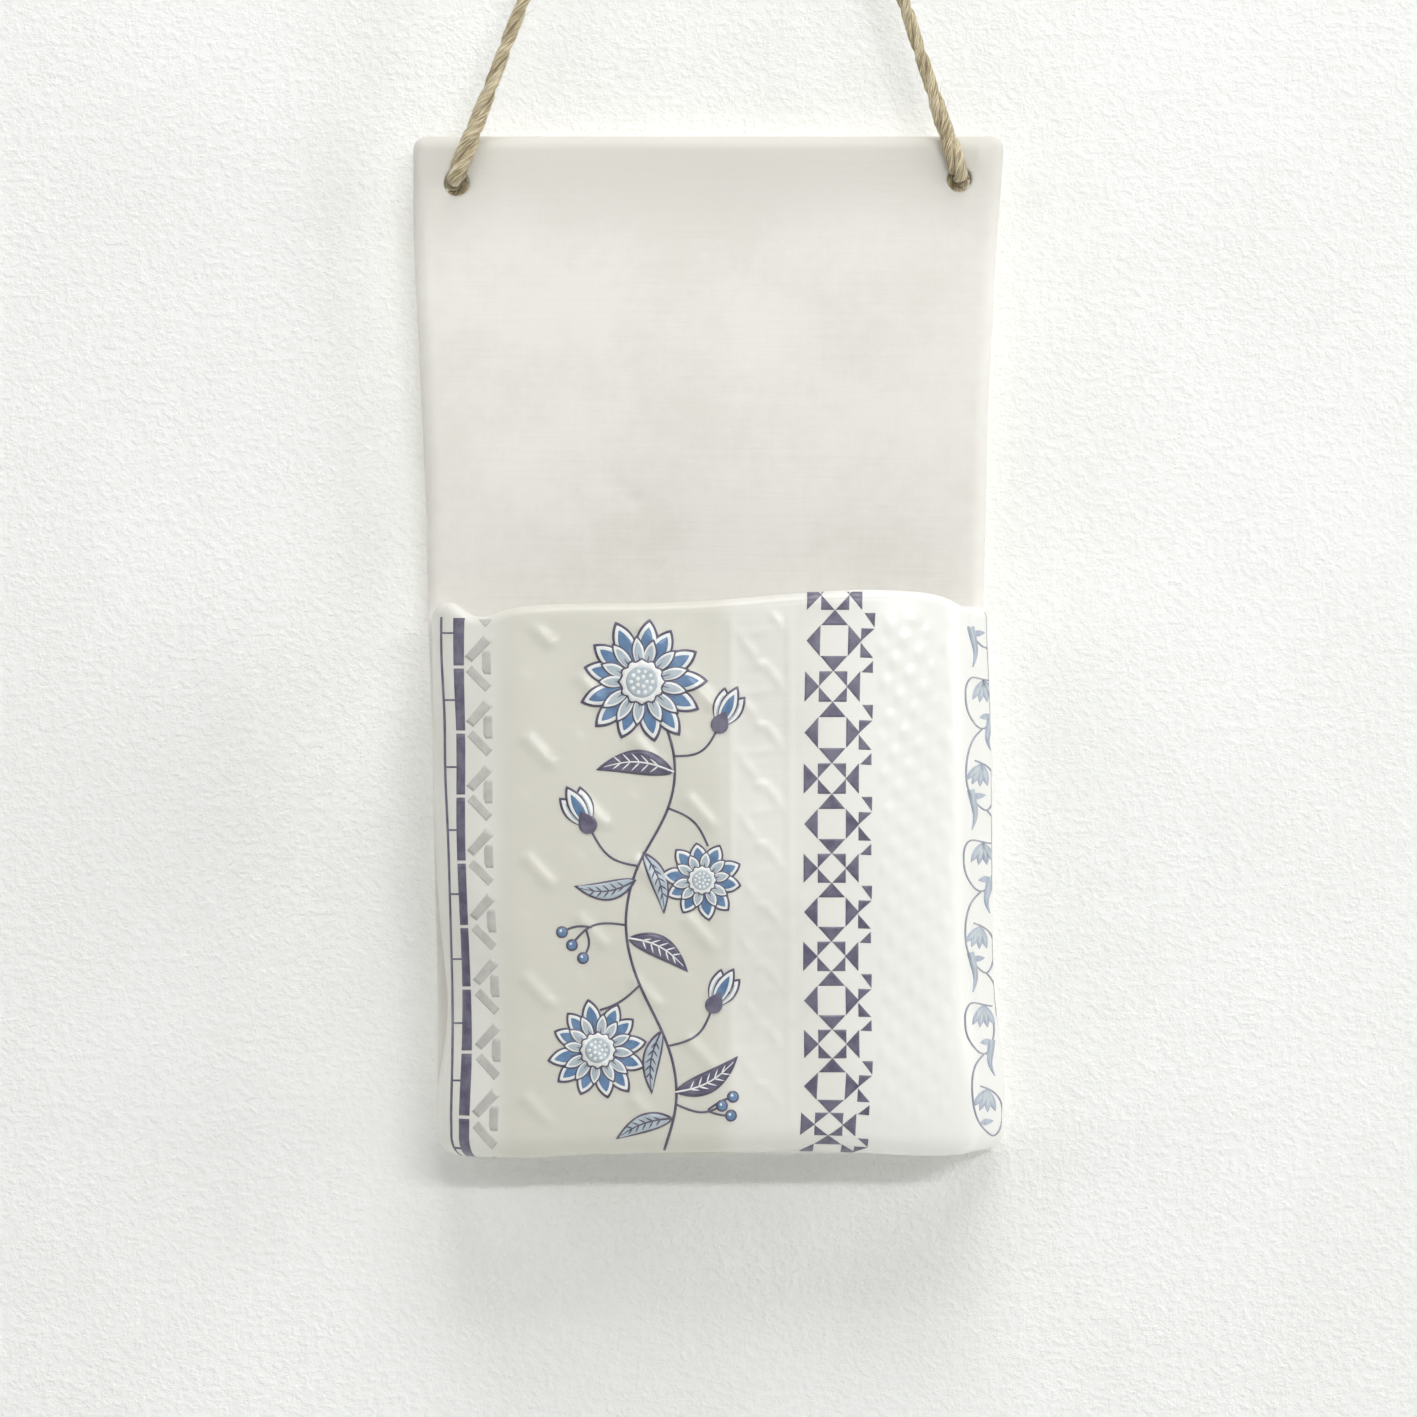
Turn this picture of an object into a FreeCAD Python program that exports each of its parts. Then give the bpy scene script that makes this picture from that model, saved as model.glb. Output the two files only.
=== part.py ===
import FreeCAD, Part
import math
import os

import Sketcher

# A hanging wall vase: a flat back slab with a bulging pocket on its lower half, hung by a
# twine that passes through two holes in the slab and over a screw in the wall.
# Lengths are millimetres. The wall is the plane y = 0 and the room is at negative y. The origin
# is on the screw's axis at the wall's surface, +x is right and +z is up.

SIZES = [
    # The screw and its plug
    ("screw_diameter", 3.5),
    ("screw_embed", 24.0),
    ("screw_tip", 3.0),
    ("screw_head_diameter", 7.4),
    ("screw_head_height", 2.5),
    ("screw_head_room", 1.2),
    ("screw_slot_width", 1.0),
    ("screw_slot_depth", 1.2),
    ("plug_diameter", 6.0),
    ("plug_length", 26.0),
    ("plug_nose", 4.0),
    ("plug_nose_diameter", 4.4),
    ("plug_collar_diameter", 8.4),
    ("plug_collar_height", 1.0),
    # The twine, its places at the holes, and the knots that stop it behind the slab
    ("twine_diameter", 2.5),
    ("twine_screw_gap", 0.2),
    ("twine_slab_gap", 0.6),
    ("twine_hole_gap", 0.9),
    ("hinge_fall", 117.4),
    ("knot_overhang", 1.45),
    ("knot_depth", 6.5),
    ("knot_flat_angle", 48.0),
    ("knot_wall_gap", 0.3),
    ("tail_length", 10.0),
    ("tail_angle", 24.0),
    # The back slab, its centre line measured from the screw's axis, and its top from the hinge
    ("slab_width", 104.2),
    ("slab_height", 179.0),
    ("slab_thickness", 5.0),
    ("slab_centre_x", -3.1),
    ("slab_top_rise", 7.6),
    ("slab_waist_height", 80.0),
    # How far each side of the slab stands in from its width at the top
    ("slab_waist_left_inset", 3.1),
    ("slab_waist_right_inset", 3.3),
    ("slab_foot_left_inset", 3.9),
    ("slab_foot_right_inset", 0.5),
    ("slab_corner_radius", 2.2),
    ("slab_edge_radius", 2.0),
    # The holes, measured from the slab's sides and top
    ("hole_edge_radius", 0.4),
    ("left_hole_inset", 7.7),
    ("right_hole_inset", 8.1),
    ("left_hole_drop", 8.4),
    ("right_hole_drop", 7.7),
    # The pocket, each side standing in from the slab's width at the top
    ("pocket_height", 95.4),
    ("pocket_left_inset", 3.9),
    ("pocket_right_inset", 2.2),
    ("pocket_depth", 26.0),
    ("pocket_front_rise", 2.6),
    ("pocket_wall_thickness", 3.8),
    ("pocket_foot_radius", 3.0),
    ("floor_thickness", 5.0),
    ("floor_gap", 0.1),
    # One overrun for every cut
    ("overrun", 2.0),
]

# The screw's domed head from its crown to its rim: radius and height as shares of the head's
HEAD_SHARES = [
    (0.50, 0.93),
    (0.80, 0.66),
    (1.00, 0.20),
]

# The pocket's plan, from the slab on its left round the front to the slab on its right:
# x as a share of that side's half width, and y as a share of the depth
PLAN_SHARES = [
    (-1.000, 0.000),
    (-1.004, 0.280),
    (-0.990, 0.600),
    (-0.935, 0.825),
    (-0.820, 0.925),
    (-0.560, 0.975),
    (-0.250, 0.992),
    (0.050, 1.000),
    (0.350, 0.985),
    (0.600, 0.955),
    (0.770, 0.905),
    (0.855, 0.840),
    (0.893, 0.730),
    (0.925, 0.470),
    (0.965, 0.210),
    (1.000, 0.000),
]

# The pocket's size at several heights from the foot up: height, left half width, right half
# width and depth, each as a share of the pocket's own size
LEVEL_SHARES = [
    (0.00, 0.994, 1.044, 0.965),
    (0.12, 0.978, 1.048, 0.985),
    (0.25, 0.948, 1.020, 0.990),
    (0.38, 0.968, 1.008, 1.000),
    (0.60, 0.991, 1.006, 0.990),
    (0.85, 0.998, 0.996, 0.945),
    (1.08, 1.004, 0.980, 0.890),
]

# The wavy rim from left to right: x as a share of that side's half width, and height as a
# share of the pocket's height
RIM_SHARES = [
    (-1.00, 0.990),
    (-0.92, 1.004),
    (-0.84, 0.995),
    (-0.73, 0.977),
    (-0.60, 0.991),
    (-0.30, 0.996),
    (0.00, 1.001),
    (0.30, 1.014),
    (0.55, 1.021),
    (0.70, 1.017),
    (0.80, 1.011),
    (0.87, 1.001),
    (0.92, 0.991),
    (1.00, 0.985),
]

# Where the pocket's surface is measured: steps round its plan, over its rim and round its foot,
# and heights as shares of its flat side
PLAN_STEPS = 48
LIP_STEPS = 6
FOOT_STEPS = 3
SIDE_SHARES = [0.0, 0.09, 0.20, 0.32, 0.50, 0.70, 0.88]

# The pulled twine lies above the middle of its holes, by a share of the gap round it
HOLE_RISE_SHARE = 0.5
# The most that a rounding may take of the wall that it rounds
SLAB_ROUNDING_SHARE = 0.4
FOOT_ROUNDING_SHARE = 0.8

# The knots hold the slab's top off the wall while its foot rests on it, so the vase leans.
# The vase's own frame has x from the screw's axis, and the hinge line at its y = z = 0.
LEAN = "atan(Sizes.knot_depth / (Sizes.slab_height - Sizes.slab_top_rise))"
SLAB_FRONT = "(Sizes.twine_diameter / 2 + Sizes.twine_slab_gap)"
SLAB_BACK = f"({SLAB_FRONT} + Sizes.slab_thickness)"
SLAB_FOOT = "(Sizes.slab_top_rise - Sizes.slab_height)"
HINGE_Y = f"-(Sizes.knot_wall_gap + ({SLAB_BACK} + Sizes.knot_depth) * cos({LEAN}))"
SLAB_LEFT = "(Sizes.slab_centre_x - Sizes.slab_width / 2)"
SLAB_RIGHT = "(Sizes.slab_centre_x + Sizes.slab_width / 2)"
HOLE_DIAMETER = "(Sizes.twine_diameter + 2 * Sizes.twine_hole_gap)"
HOLE_RISE = f"({HOLE_RISE_SHARE} * Sizes.twine_hole_gap)"
LEFT_HOLE = (
    f"({SLAB_LEFT} + Sizes.left_hole_inset)",
    "(Sizes.slab_top_rise - Sizes.left_hole_drop)",
)
RIGHT_HOLE = (
    f"({SLAB_RIGHT} - Sizes.right_hole_inset)",
    "(Sizes.slab_top_rise - Sizes.right_hole_drop)",
)


def make_sheet(document):
    """Fill the sheet of driving sizes."""
    sheet = document.addObject("Spreadsheet::Sheet", "Sizes")
    for row, (alias, number) in enumerate(SIZES, start=1):
        sheet.set(f"A{row}", alias)
        sheet.set(f"B{row}", str(number))
        sheet.setAlias(f"B{row}", alias)
    document.recompute()
    return sheet


def evaluate(thing, expression):
    """Return the present value of an expression as a number."""
    return float(thing.evalExpression(expression))


def bind(thing, **expressions):
    """Bind properties to expressions. A double underscore stands for a dot."""
    for name, expression in expressions.items():
        thing.setExpression(name.replace("__", "."), expression)


def origin_feature(body, role):
    """Return one of a body's own origin planes or axes."""
    for feature in body.Origin.OriginFeatures:
        if feature.Role == role:
            return feature
    raise ValueError(role)


def add_body(document, label):
    """Make an empty body under its node's name."""
    body = document.addObject("PartDesign::Body", label)
    body.Label = label
    return body


def add_sketch(body, name, role, offset="0"):
    """Attach an empty sketch to an origin plane, moved along its normal by an expression."""
    sketch = body.newObject("Sketcher::SketchObject", name)
    sketch.AttachmentSupport = [(origin_feature(body, role), "")]
    sketch.MapMode = "FlatFace"
    bind(sketch, AttachmentOffset__Base__z=offset)
    return sketch


def sketch_point(sketch, place):
    """Turn a pair of expressions into a point."""
    return FreeCAD.Vector(evaluate(sketch, place[0]), evaluate(sketch, place[1]), 0)


def hold_size(sketch, constraint, name, expression):
    """Add a sketch size and bind it to an expression."""
    index = sketch.addConstraint(constraint)
    sketch.renameConstraint(index, name)
    sketch.setExpression(f"Constraints.{name}", expression)


def hold_point(sketch, geometry, corner, place):
    """Hold a sketch point at a pair of expressions from the sketch's origin."""
    for kind, expression in zip(("DistanceX", "DistanceY"), place):
        number = evaluate(sketch, expression)
        constraint = Sketcher.Constraint(kind, -1, 1, geometry, corner, number)
        hold_size(sketch, constraint, f"{kind}_{geometry}_{corner}", expression)


def add_outline(sketch, places):
    """Draw a closed outline of straight edges through points given as pairs of expressions."""
    corners = [sketch_point(sketch, place) for place in places]
    count = len(corners)
    for index in range(count):
        sketch.addGeometry(Part.LineSegment(corners[index], corners[(index + 1) % count]))
    for index in range(count):
        following = (index + 1) % count
        sketch.addConstraint(Sketcher.Constraint("Coincident", index, 2, following, 1))
    for index, place in enumerate(places):
        hold_point(sketch, index, 1, place)


def add_circle(sketch, centre, diameter):
    """Draw a circle with its centre and diameter given as expressions."""
    radius = evaluate(sketch, diameter) / 2
    circle = Part.Circle(sketch_point(sketch, centre), FreeCAD.Vector(0, 0, 1), radius)
    index = sketch.addGeometry(circle)
    hold_point(sketch, index, 3, centre)
    constraint = Sketcher.Constraint("Diameter", index, 2 * radius)
    hold_size(sketch, constraint, f"Diameter_{index}", diameter)


def turn(body, name, profile):
    """Turn a sketch a full turn about the body's y axis."""
    turned = body.newObject("PartDesign::Revolution", name)
    turned.Profile = profile
    turned.ReferenceAxis = (origin_feature(body, "Y_Axis"), [""])
    turned.Angle = 360.0
    return turned


def pick_edges(feature, test):
    """Name the edges of a feature's shape that pass a test."""
    numbered = enumerate(feature.Shape.Edges, start=1)
    return [f"Edge{number}" for number, edge in numbered if test(edge)]


def add_fillet(body, name, feature, edges, radius):
    """Round some edges of a body's last feature."""
    fillet = body.newObject("PartDesign::Fillet", name)
    fillet.Base = (feature, edges)
    bind(fillet, Radius=radius)
    body.Document.recompute()
    return fillet


def add_pocket(body, name, sketch, length):
    """Cut a sketch into the body, against the sketch's normal, and check that it cut."""
    before = body.Shape.Volume
    pocket = body.newObject("PartDesign::Pocket", name)
    pocket.Profile = sketch
    bind(pocket, Length=length)
    body.Document.recompute()
    if not body.Shape.Volume < before:
        raise ValueError(f"{name} cuts nothing")
    return pocket


def lean_on_wall(piece):
    """Place a piece that is made in the vase's own frame."""
    start = FreeCAD.Rotation(FreeCAD.Vector(1, 0, 0), 1)
    piece.Placement = FreeCAD.Placement(FreeCAD.Vector(0, 0, 0), start)
    bind(
        piece,
        Placement__Base__y=HINGE_Y,
        Placement__Base__z="-Sizes.hinge_fall",
        Placement__Rotation__Angle=LEAN,
    )


def make_screw(document):
    """Round-head screw whose bare shank carries the twine between its head and the wall."""
    body = add_body(document, "hanging_screw")
    seat = f"({HINGE_Y} - Sizes.twine_diameter / 2 - Sizes.screw_head_room)"
    crown = f"({seat} - Sizes.screw_head_height)"
    dome = [
        (
            f"Sizes.screw_head_diameter / 2 * {radius_share}",
            f"{seat} - Sizes.screw_head_height * {height_share}",
        )
        for radius_share, height_share in HEAD_SHARES
    ]
    profile = add_sketch(body, "screw_profile", "XY_Plane")
    add_outline(
        profile,
        [
            ("0", "Sizes.screw_embed"),
            ("0", crown),
            *dome,
            ("Sizes.screw_head_diameter / 2", seat),
            ("Sizes.screw_diameter / 2", seat),
            ("Sizes.screw_diameter / 2", "Sizes.screw_embed - Sizes.screw_tip"),
        ],
    )
    turn(body, "screw_turned", profile)
    document.recompute()
    slot = add_sketch(body, "screw_slot_outline", "XZ_Plane", f"-({crown} - Sizes.overrun)")
    reach = "(Sizes.screw_head_diameter / 2 + Sizes.overrun)"
    half = "Sizes.screw_slot_width / 2"
    add_outline(
        slot,
        [(f"-{reach}", f"-{half}"), (reach, f"-{half}"), (reach, half), (f"-{reach}", half)],
    )
    add_pocket(body, "screw_slot", slot, "Sizes.overrun + Sizes.screw_slot_depth")
    return body


def make_plug(document):
    """Wall plug with a collar on the wall's surface and a tapered nose."""
    body = add_body(document, "wall_plug")
    profile = add_sketch(body, "plug_profile", "XY_Plane")
    add_outline(
        profile,
        [
            ("Sizes.screw_diameter / 2", "-Sizes.plug_collar_height"),
            ("Sizes.plug_collar_diameter / 2", "-Sizes.plug_collar_height"),
            ("Sizes.plug_collar_diameter / 2", "0"),
            ("Sizes.plug_diameter / 2", "0"),
            ("Sizes.plug_diameter / 2", "Sizes.plug_length - Sizes.plug_nose"),
            ("Sizes.plug_nose_diameter / 2", "Sizes.plug_length"),
            ("Sizes.screw_diameter / 2", "Sizes.plug_length"),
        ],
    )
    turn(body, "plug_turned", profile)
    return body


def tangent_angle(point, radius, side):
    """Return the angle at which a line from a point touches a circle round the origin."""
    towards = math.atan2(point.y, point.x)
    return towards + side * math.acos(radius / math.hypot(point.x, point.y))


def make_twine(document):
    """Twine in one upright plane: up from the left hole, over the screw, down to the right."""
    body = add_body(document, "hanging_twine")
    bind(body, Placement__Base__y=HINGE_Y)
    route = add_sketch(body, "twine_route", "XZ_Plane")
    left_end, right_end = [
        (across, f"{up} + {HOLE_RISE} - Sizes.hinge_fall") for across, up in (LEFT_HOLE, RIGHT_HOLE)
    ]
    bend = "Sizes.screw_diameter / 2 + Sizes.twine_screw_gap + Sizes.twine_diameter / 2"
    radius = evaluate(route, bend)
    left_point = sketch_point(route, left_end)
    right_point = sketch_point(route, right_end)
    left_angle = tangent_angle(left_point, radius, -1) + 2 * math.pi
    right_angle = tangent_angle(right_point, radius, 1)
    circle = Part.Circle(FreeCAD.Vector(0, 0, 0), FreeCAD.Vector(0, 0, 1), radius)
    over = Part.ArcOfCircle(circle, right_angle, left_angle)
    route.addGeometry(Part.LineSegment(left_point, over.EndPoint))
    route.addGeometry(over)
    route.addGeometry(Part.LineSegment(over.StartPoint, right_point))
    route.addConstraint(Sketcher.Constraint("Coincident", 1, 3, -1, 1))
    route.addConstraint(Sketcher.Constraint("Tangent", 0, 2, 1, 2))
    route.addConstraint(Sketcher.Constraint("Tangent", 1, 1, 2, 1))
    hold_size(route, Sketcher.Constraint("Radius", 1, radius), "bend", bend)
    hold_point(route, 0, 1, left_end)
    hold_point(route, 2, 2, right_end)
    document.recompute()
    section = body.newObject("Sketcher::SketchObject", "twine_section")
    section.AttachmentSupport = [(route, "Edge1")]
    section.MapMode = "NormalToEdge"
    add_circle(section, ("0", "0"), "Sizes.twine_diameter")
    document.recompute()
    strand = body.newObject("PartDesign::AdditivePipe", "twine_strand")
    strand.Profile = section
    strand.Spine = (route, ["Edge1", "Edge2", "Edge3"])
    document.recompute()
    length = sum(edge.Length for edge in route.Shape.Edges)
    thickness = evaluate(route, "Sizes.twine_diameter")
    print(f"twine {length:.1f} mm between the holes, bend radius {radius:.2f} mm over the screw")
    section_volume = length * math.pi * thickness**2 / 4
    print(f"twine volume over section times length: {strand.Shape.Volume / section_volume:.4f}")
    return body


def make_slab(document):
    """Flat slab with slightly hollow sides, rounded edges and two holes for the twine."""
    body = add_body(document, "back_slab")
    lean_on_wall(body)
    outline = add_sketch(body, "slab_outline", "XZ_Plane", f"-{SLAB_FRONT}")
    waist = f"{SLAB_FOOT} + Sizes.slab_waist_height"
    corners = [
        (SLAB_LEFT, "Sizes.slab_top_rise"),
        (SLAB_RIGHT, "Sizes.slab_top_rise"),
        (f"{SLAB_RIGHT} - Sizes.slab_foot_right_inset", SLAB_FOOT),
        (f"{SLAB_LEFT} + Sizes.slab_foot_left_inset", SLAB_FOOT),
    ]
    right_waist = (f"{SLAB_RIGHT} - Sizes.slab_waist_right_inset", waist)
    left_waist = (f"{SLAB_LEFT} + Sizes.slab_waist_left_inset", waist)
    upper_left, upper_right, lower_right, lower_left = [
        sketch_point(outline, place) for place in corners
    ]
    right_side = Part.Arc(upper_right, sketch_point(outline, right_waist), lower_right)
    left_side = Part.Arc(lower_left, sketch_point(outline, left_waist), upper_left)
    outline.addGeometry(Part.LineSegment(upper_left, upper_right))
    outline.addGeometry(right_side)
    outline.addGeometry(Part.LineSegment(lower_right, lower_left))
    outline.addGeometry(left_side)
    for index in range(4):
        following = (index + 1) % 4
        outline.addConstraint(Sketcher.Constraint("Coincident", index, 2, following, 1))
    for index, place in enumerate(corners):
        hold_point(outline, index, 1, place)
    for side, place in ((1, right_waist), (3, left_waist)):
        mark = outline.addGeometry(Part.Point(sketch_point(outline, place)), True)
        outline.addConstraint(Sketcher.Constraint("PointOnObject", mark, 1, side))
        hold_point(outline, mark, 1, place)
    plate = body.newObject("PartDesign::Pad", "slab_plate")
    plate.Profile = outline
    plate.Reversed = True
    bind(plate, Length="Sizes.slab_thickness")
    document.recompute()

    def crosses(edge):
        return edge.BoundBox.YLength > evaluate(body, "Sizes.slab_thickness") / 2

    upright = pick_edges(plate, crosses)
    cornered = add_fillet(body, "slab_corners", plate, upright, "Sizes.slab_corner_radius")
    flat = pick_edges(cornered, lambda edge: not crosses(edge))
    rounding = f"min(Sizes.slab_edge_radius; {SLAB_ROUNDING_SHARE} * Sizes.slab_thickness)"
    add_fillet(body, "slab_edges", cornered, flat, rounding)
    holes = add_sketch(body, "hole_circles", "XZ_Plane", f"Sizes.overrun - {SLAB_FRONT}")
    add_circle(holes, LEFT_HOLE, HOLE_DIAMETER)
    add_circle(holes, RIGHT_HOLE, HOLE_DIAMETER)
    length = "2 * Sizes.overrun + Sizes.slab_thickness"
    pierced = add_pocket(body, "slab_holes", holes, length)
    radius = evaluate(body, HOLE_DIAMETER) / 2

    def rings_hole(edge):
        is_circle = isinstance(edge.Curve, Part.Circle)
        return is_circle and math.isclose(edge.Curve.Radius, radius, rel_tol=1e-4)

    rings = pick_edges(pierced, rings_hole)
    add_fillet(body, "hole_edges", pierced, rings, "Sizes.hole_edge_radius")
    return body


def make_knot(document, label, hole, side):
    """Stub of twine through a hole, with its stopper knot and short tail behind the slab."""
    hole_x, hole_z = hole
    height = f"{hole_z} + {HOLE_RISE}"
    stub = document.addObject("Part::Cylinder", f"{label}_stub")
    stub.Placement.Rotation = FreeCAD.Rotation(FreeCAD.Vector(1, 0, 0), -90)
    bind(
        stub,
        Radius="Sizes.twine_diameter / 2",
        Height="Sizes.slab_thickness + Sizes.knot_depth / 2",
        Placement__Base__x=hole_x,
        Placement__Base__y=SLAB_FRONT,
        Placement__Base__z=height,
    )
    swell = "(Sizes.knot_depth / (1 + sin(Sizes.knot_flat_angle)))"
    centre = f"{SLAB_BACK} + {swell} * sin(Sizes.knot_flat_angle)"
    ball = document.addObject("Part::Ellipsoid", f"{label}_ball")
    ball.Placement.Rotation = FreeCAD.Rotation(FreeCAD.Vector(1, 0, 0), -90)
    ball.Radius3 = 0
    bind(
        ball,
        Radius1=swell,
        Radius2=f"{HOLE_DIAMETER} / 2 + Sizes.knot_overhang",
        Angle1="-Sizes.knot_flat_angle",
        Placement__Base__x=hole_x,
        Placement__Base__y=centre,
        Placement__Base__z=height,
    )
    tail = document.addObject("Part::Cylinder", f"{label}_tail")
    tail.Placement.Rotation = FreeCAD.Rotation(FreeCAD.Vector(0, 1, 0), 90)
    bind(
        tail,
        Radius="Sizes.twine_diameter / 2",
        Height="Sizes.tail_length",
        Placement__Base__x=hole_x,
        Placement__Base__y=centre,
        Placement__Base__z=height,
        Placement__Rotation__Angle=f"{side} * (180 - Sizes.tail_angle)",
    )
    knot = document.addObject("Part::MultiFuse", label)
    knot.Label = label
    knot.Shapes = [stub, ball, tail]
    lean_on_wall(knot)
    return knot


def read_shares(table, place):
    """Read a table of shares between its rows, whose first column is the place."""
    for low, high in zip(table, table[1:]):
        if place <= high[0]:
            part = (place - low[0]) / (high[0] - low[0])
            return [start + part * (end - start) for start, end in zip(low[1:], high[1:])]
    return list(table[-1][1:])


class Pocket:
    """The pocket's free-form side: points on its outside, or set in from it.

    The whole pocket rises evenly from the slab to its front, and its foot stays flat.
    """

    def __init__(self, sheet):
        self.left = evaluate(sheet, "Sizes.slab_width / 2 - Sizes.pocket_left_inset")
        self.right = evaluate(sheet, "Sizes.slab_width / 2 - Sizes.pocket_right_inset")
        self.depth = evaluate(sheet, "Sizes.pocket_depth")
        self.height = evaluate(sheet, "Sizes.pocket_height")
        self.front_rise = evaluate(sheet, "Sizes.pocket_front_rise")
        self.thickness = evaluate(sheet, "Sizes.pocket_wall_thickness")
        foot_limit = FOOT_ROUNDING_SHARE * self.thickness
        self.foot_radius = min(evaluate(sheet, "Sizes.pocket_foot_radius"), foot_limit)
        middle = evaluate(sheet, "Sizes.slab_centre_x")
        front = evaluate(sheet, SLAB_FRONT)
        self.corner = FreeCAD.Vector(middle, front, evaluate(sheet, SLAB_FOOT))
        places = [self.plan_point(shares, (1, 1, 1)) for shares in PLAN_SHARES]
        runs = [0.0]
        for before, after in zip(places, places[1:]):
            runs.append(runs[-1] + before.distanceToPoint(after))
        self.parameters = [run / runs[-1] for run in runs]

    def plan_point(self, shares, size_shares):
        """Return one point of the plan at a level whose sizes are given as shares."""
        x, y = shares
        left, right, depth = size_shares
        half = self.left * left if x < 0 else self.right * right
        return FreeCAD.Vector(x * half, -y * self.depth * depth, 0)

    def plan(self, height):
        """Return the plan at a height above the foot as a curve from 0 to 1."""
        size_shares = read_shares(LEVEL_SHARES, height / self.height)
        points = [self.plan_point(shares, size_shares) for shares in PLAN_SHARES]
        curve = Part.BSplineCurve()
        curve.interpolate(Points=points, Parameters=self.parameters)
        return curve

    def point(self, place, height, inset):
        """Return the point at a place along the plan, square in from the outside."""
        curve = self.plan(height)
        along = curve.tangent(place)[0]
        inwards = FreeCAD.Vector(-along.y, along.x, 0)
        if place in (0, 1):
            inwards = FreeCAD.Vector(1 - 2 * place, 0, 0)
        level = curve.value(place) + inwards * inset
        rise = -level.y / self.depth * self.front_rise
        return self.corner + level + FreeCAD.Vector(0, 0, height + rise)

    def rim(self, place):
        """Return the rim's height above the foot at a place along the plan."""
        x = self.plan(self.height).value(place).x
        half = self.left if x < 0 else self.right
        return self.height * read_shares(RIM_SHARES, x / half)[0]

    def profile(self, place):
        """Return the wall's upright section: foot, outside, rounded rim and inside."""
        lip = self.thickness / 2
        side = self.rim(place) - lip
        foot = self.foot_radius
        steps = []
        for step in range(FOOT_STEPS):
            angle = math.pi / 2 * step / FOOT_STEPS
            steps.append((foot - foot * math.cos(angle), foot - foot * math.sin(angle)))
        for share in SIDE_SHARES:
            steps.append((foot + share * (side - foot), 0))
        for step in range(LIP_STEPS + 1):
            angle = math.pi * step / LIP_STEPS
            steps.append((side + lip * math.sin(angle), lip - lip * math.cos(angle)))
        for share in reversed(SIDE_SHARES):
            steps.append((share * side, self.thickness))
        return [self.point(place, height, inset) for height, inset in steps]


def flat_face(edges):
    """Return the flat face inside a ring of edges."""
    return Part.Face(Part.Wire(Part.sortEdges(edges)[0]))


def make_pocket_wall(document, sheet):
    """Bent front and sides of the pocket, with a wavy rounded rim and a rounded foot."""
    pocket = Pocket(sheet)
    profiles = [pocket.profile(step / PLAN_STEPS) for step in range(PLAN_STEPS + 1)]
    skin = Part.BSplineSurface()
    skin.interpolate(profiles)
    start, end, outside, inside = skin.bounds()
    left_foot = Part.makeLine(profiles[0][0], profiles[0][-1])
    right_foot = Part.makeLine(profiles[-1][0], profiles[-1][-1])
    foot_ring = [
        skin.vIso(outside).toShape(),
        left_foot,
        skin.vIso(inside).toShape(),
        right_foot,
    ]
    faces = [
        skin.toShape(),
        flat_face(foot_ring),
        flat_face([skin.uIso(start).toShape(), left_foot]),
        flat_face([skin.uIso(end).toShape(), right_foot]),
    ]
    shell = Part.makeShell(faces)
    shell.sewShape()
    solid = Part.makeSolid(shell)
    if solid.Volume < 0:
        solid.reverse()
    wall = document.addObject("Part::Feature", "pocket_wall")
    wall.Label = "pocket_wall"
    wall.Shape = solid
    lean_on_wall(wall)
    return wall


def make_floor(document, sheet):
    """Floor between the slab and the pocket's wall, level with the wall's foot."""
    pocket = Pocket(sheet)
    inset = evaluate(sheet, "Sizes.pocket_wall_thickness + Sizes.floor_gap")
    thickness = evaluate(sheet, "Sizes.floor_thickness")
    sections = []
    for name, height in (("floor_under", 0), ("floor_top", thickness)):
        places = [step / PLAN_STEPS for step in range(PLAN_STEPS + 1)]
        points = [pocket.point(place, height, inset) for place in places]
        curve = Part.BSplineCurve()
        curve.interpolate(Points=points, Parameters=places)
        section = document.addObject("Part::Feature", name)
        section.Shape = Part.Wire([curve.toShape(), Part.makeLine(points[-1], points[0])])
        sections.append(section)
    floor = document.addObject("Part::Loft", "pocket_floor")
    floor.Label = "pocket_floor"
    floor.Sections = sections
    floor.Solid = True
    floor.Ruled = True
    lean_on_wall(floor)
    return floor


def check(document, pieces):
    """Stop if any object failed or any piece's shape is missing or invalid."""
    for thing in document.Objects:
        if "Invalid" in thing.State or "Error" in thing.State:
            raise ValueError(f"{thing.Name} is {thing.State}")
    for piece in pieces:
        if piece.Shape.isNull() or not piece.Shape.isValid():
            raise ValueError(f"{piece.Label} has no valid shape")
        if len(piece.Shape.Solids) != 1:
            raise ValueError(f"{piece.Label} is {len(piece.Shape.Solids)} solids")


def main():
    document = FreeCAD.newDocument("wall_vase")
    sheet = make_sheet(document)
    pieces = [
        make_screw(document),
        make_plug(document),
        make_twine(document),
        make_slab(document),
        make_knot(document, "left_knot", LEFT_HOLE, 1),
        make_knot(document, "right_knot", RIGHT_HOLE, -1),
        make_pocket_wall(document, sheet),
        make_floor(document, sheet),
    ]
    document.recompute()
    check(document, pieces)
    os.makedirs("parts", exist_ok=True)
    for piece in pieces:
        piece.Shape.exportStep(f"parts/{piece.Label}.step")
        box = piece.Shape.BoundBox
        print(f"{piece.Label}: {piece.Shape.Volume / 1000:.2f} cm3, {box}")


main()
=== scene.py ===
import logging
import math
from dataclasses import dataclass, field
from enum import Enum

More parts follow.
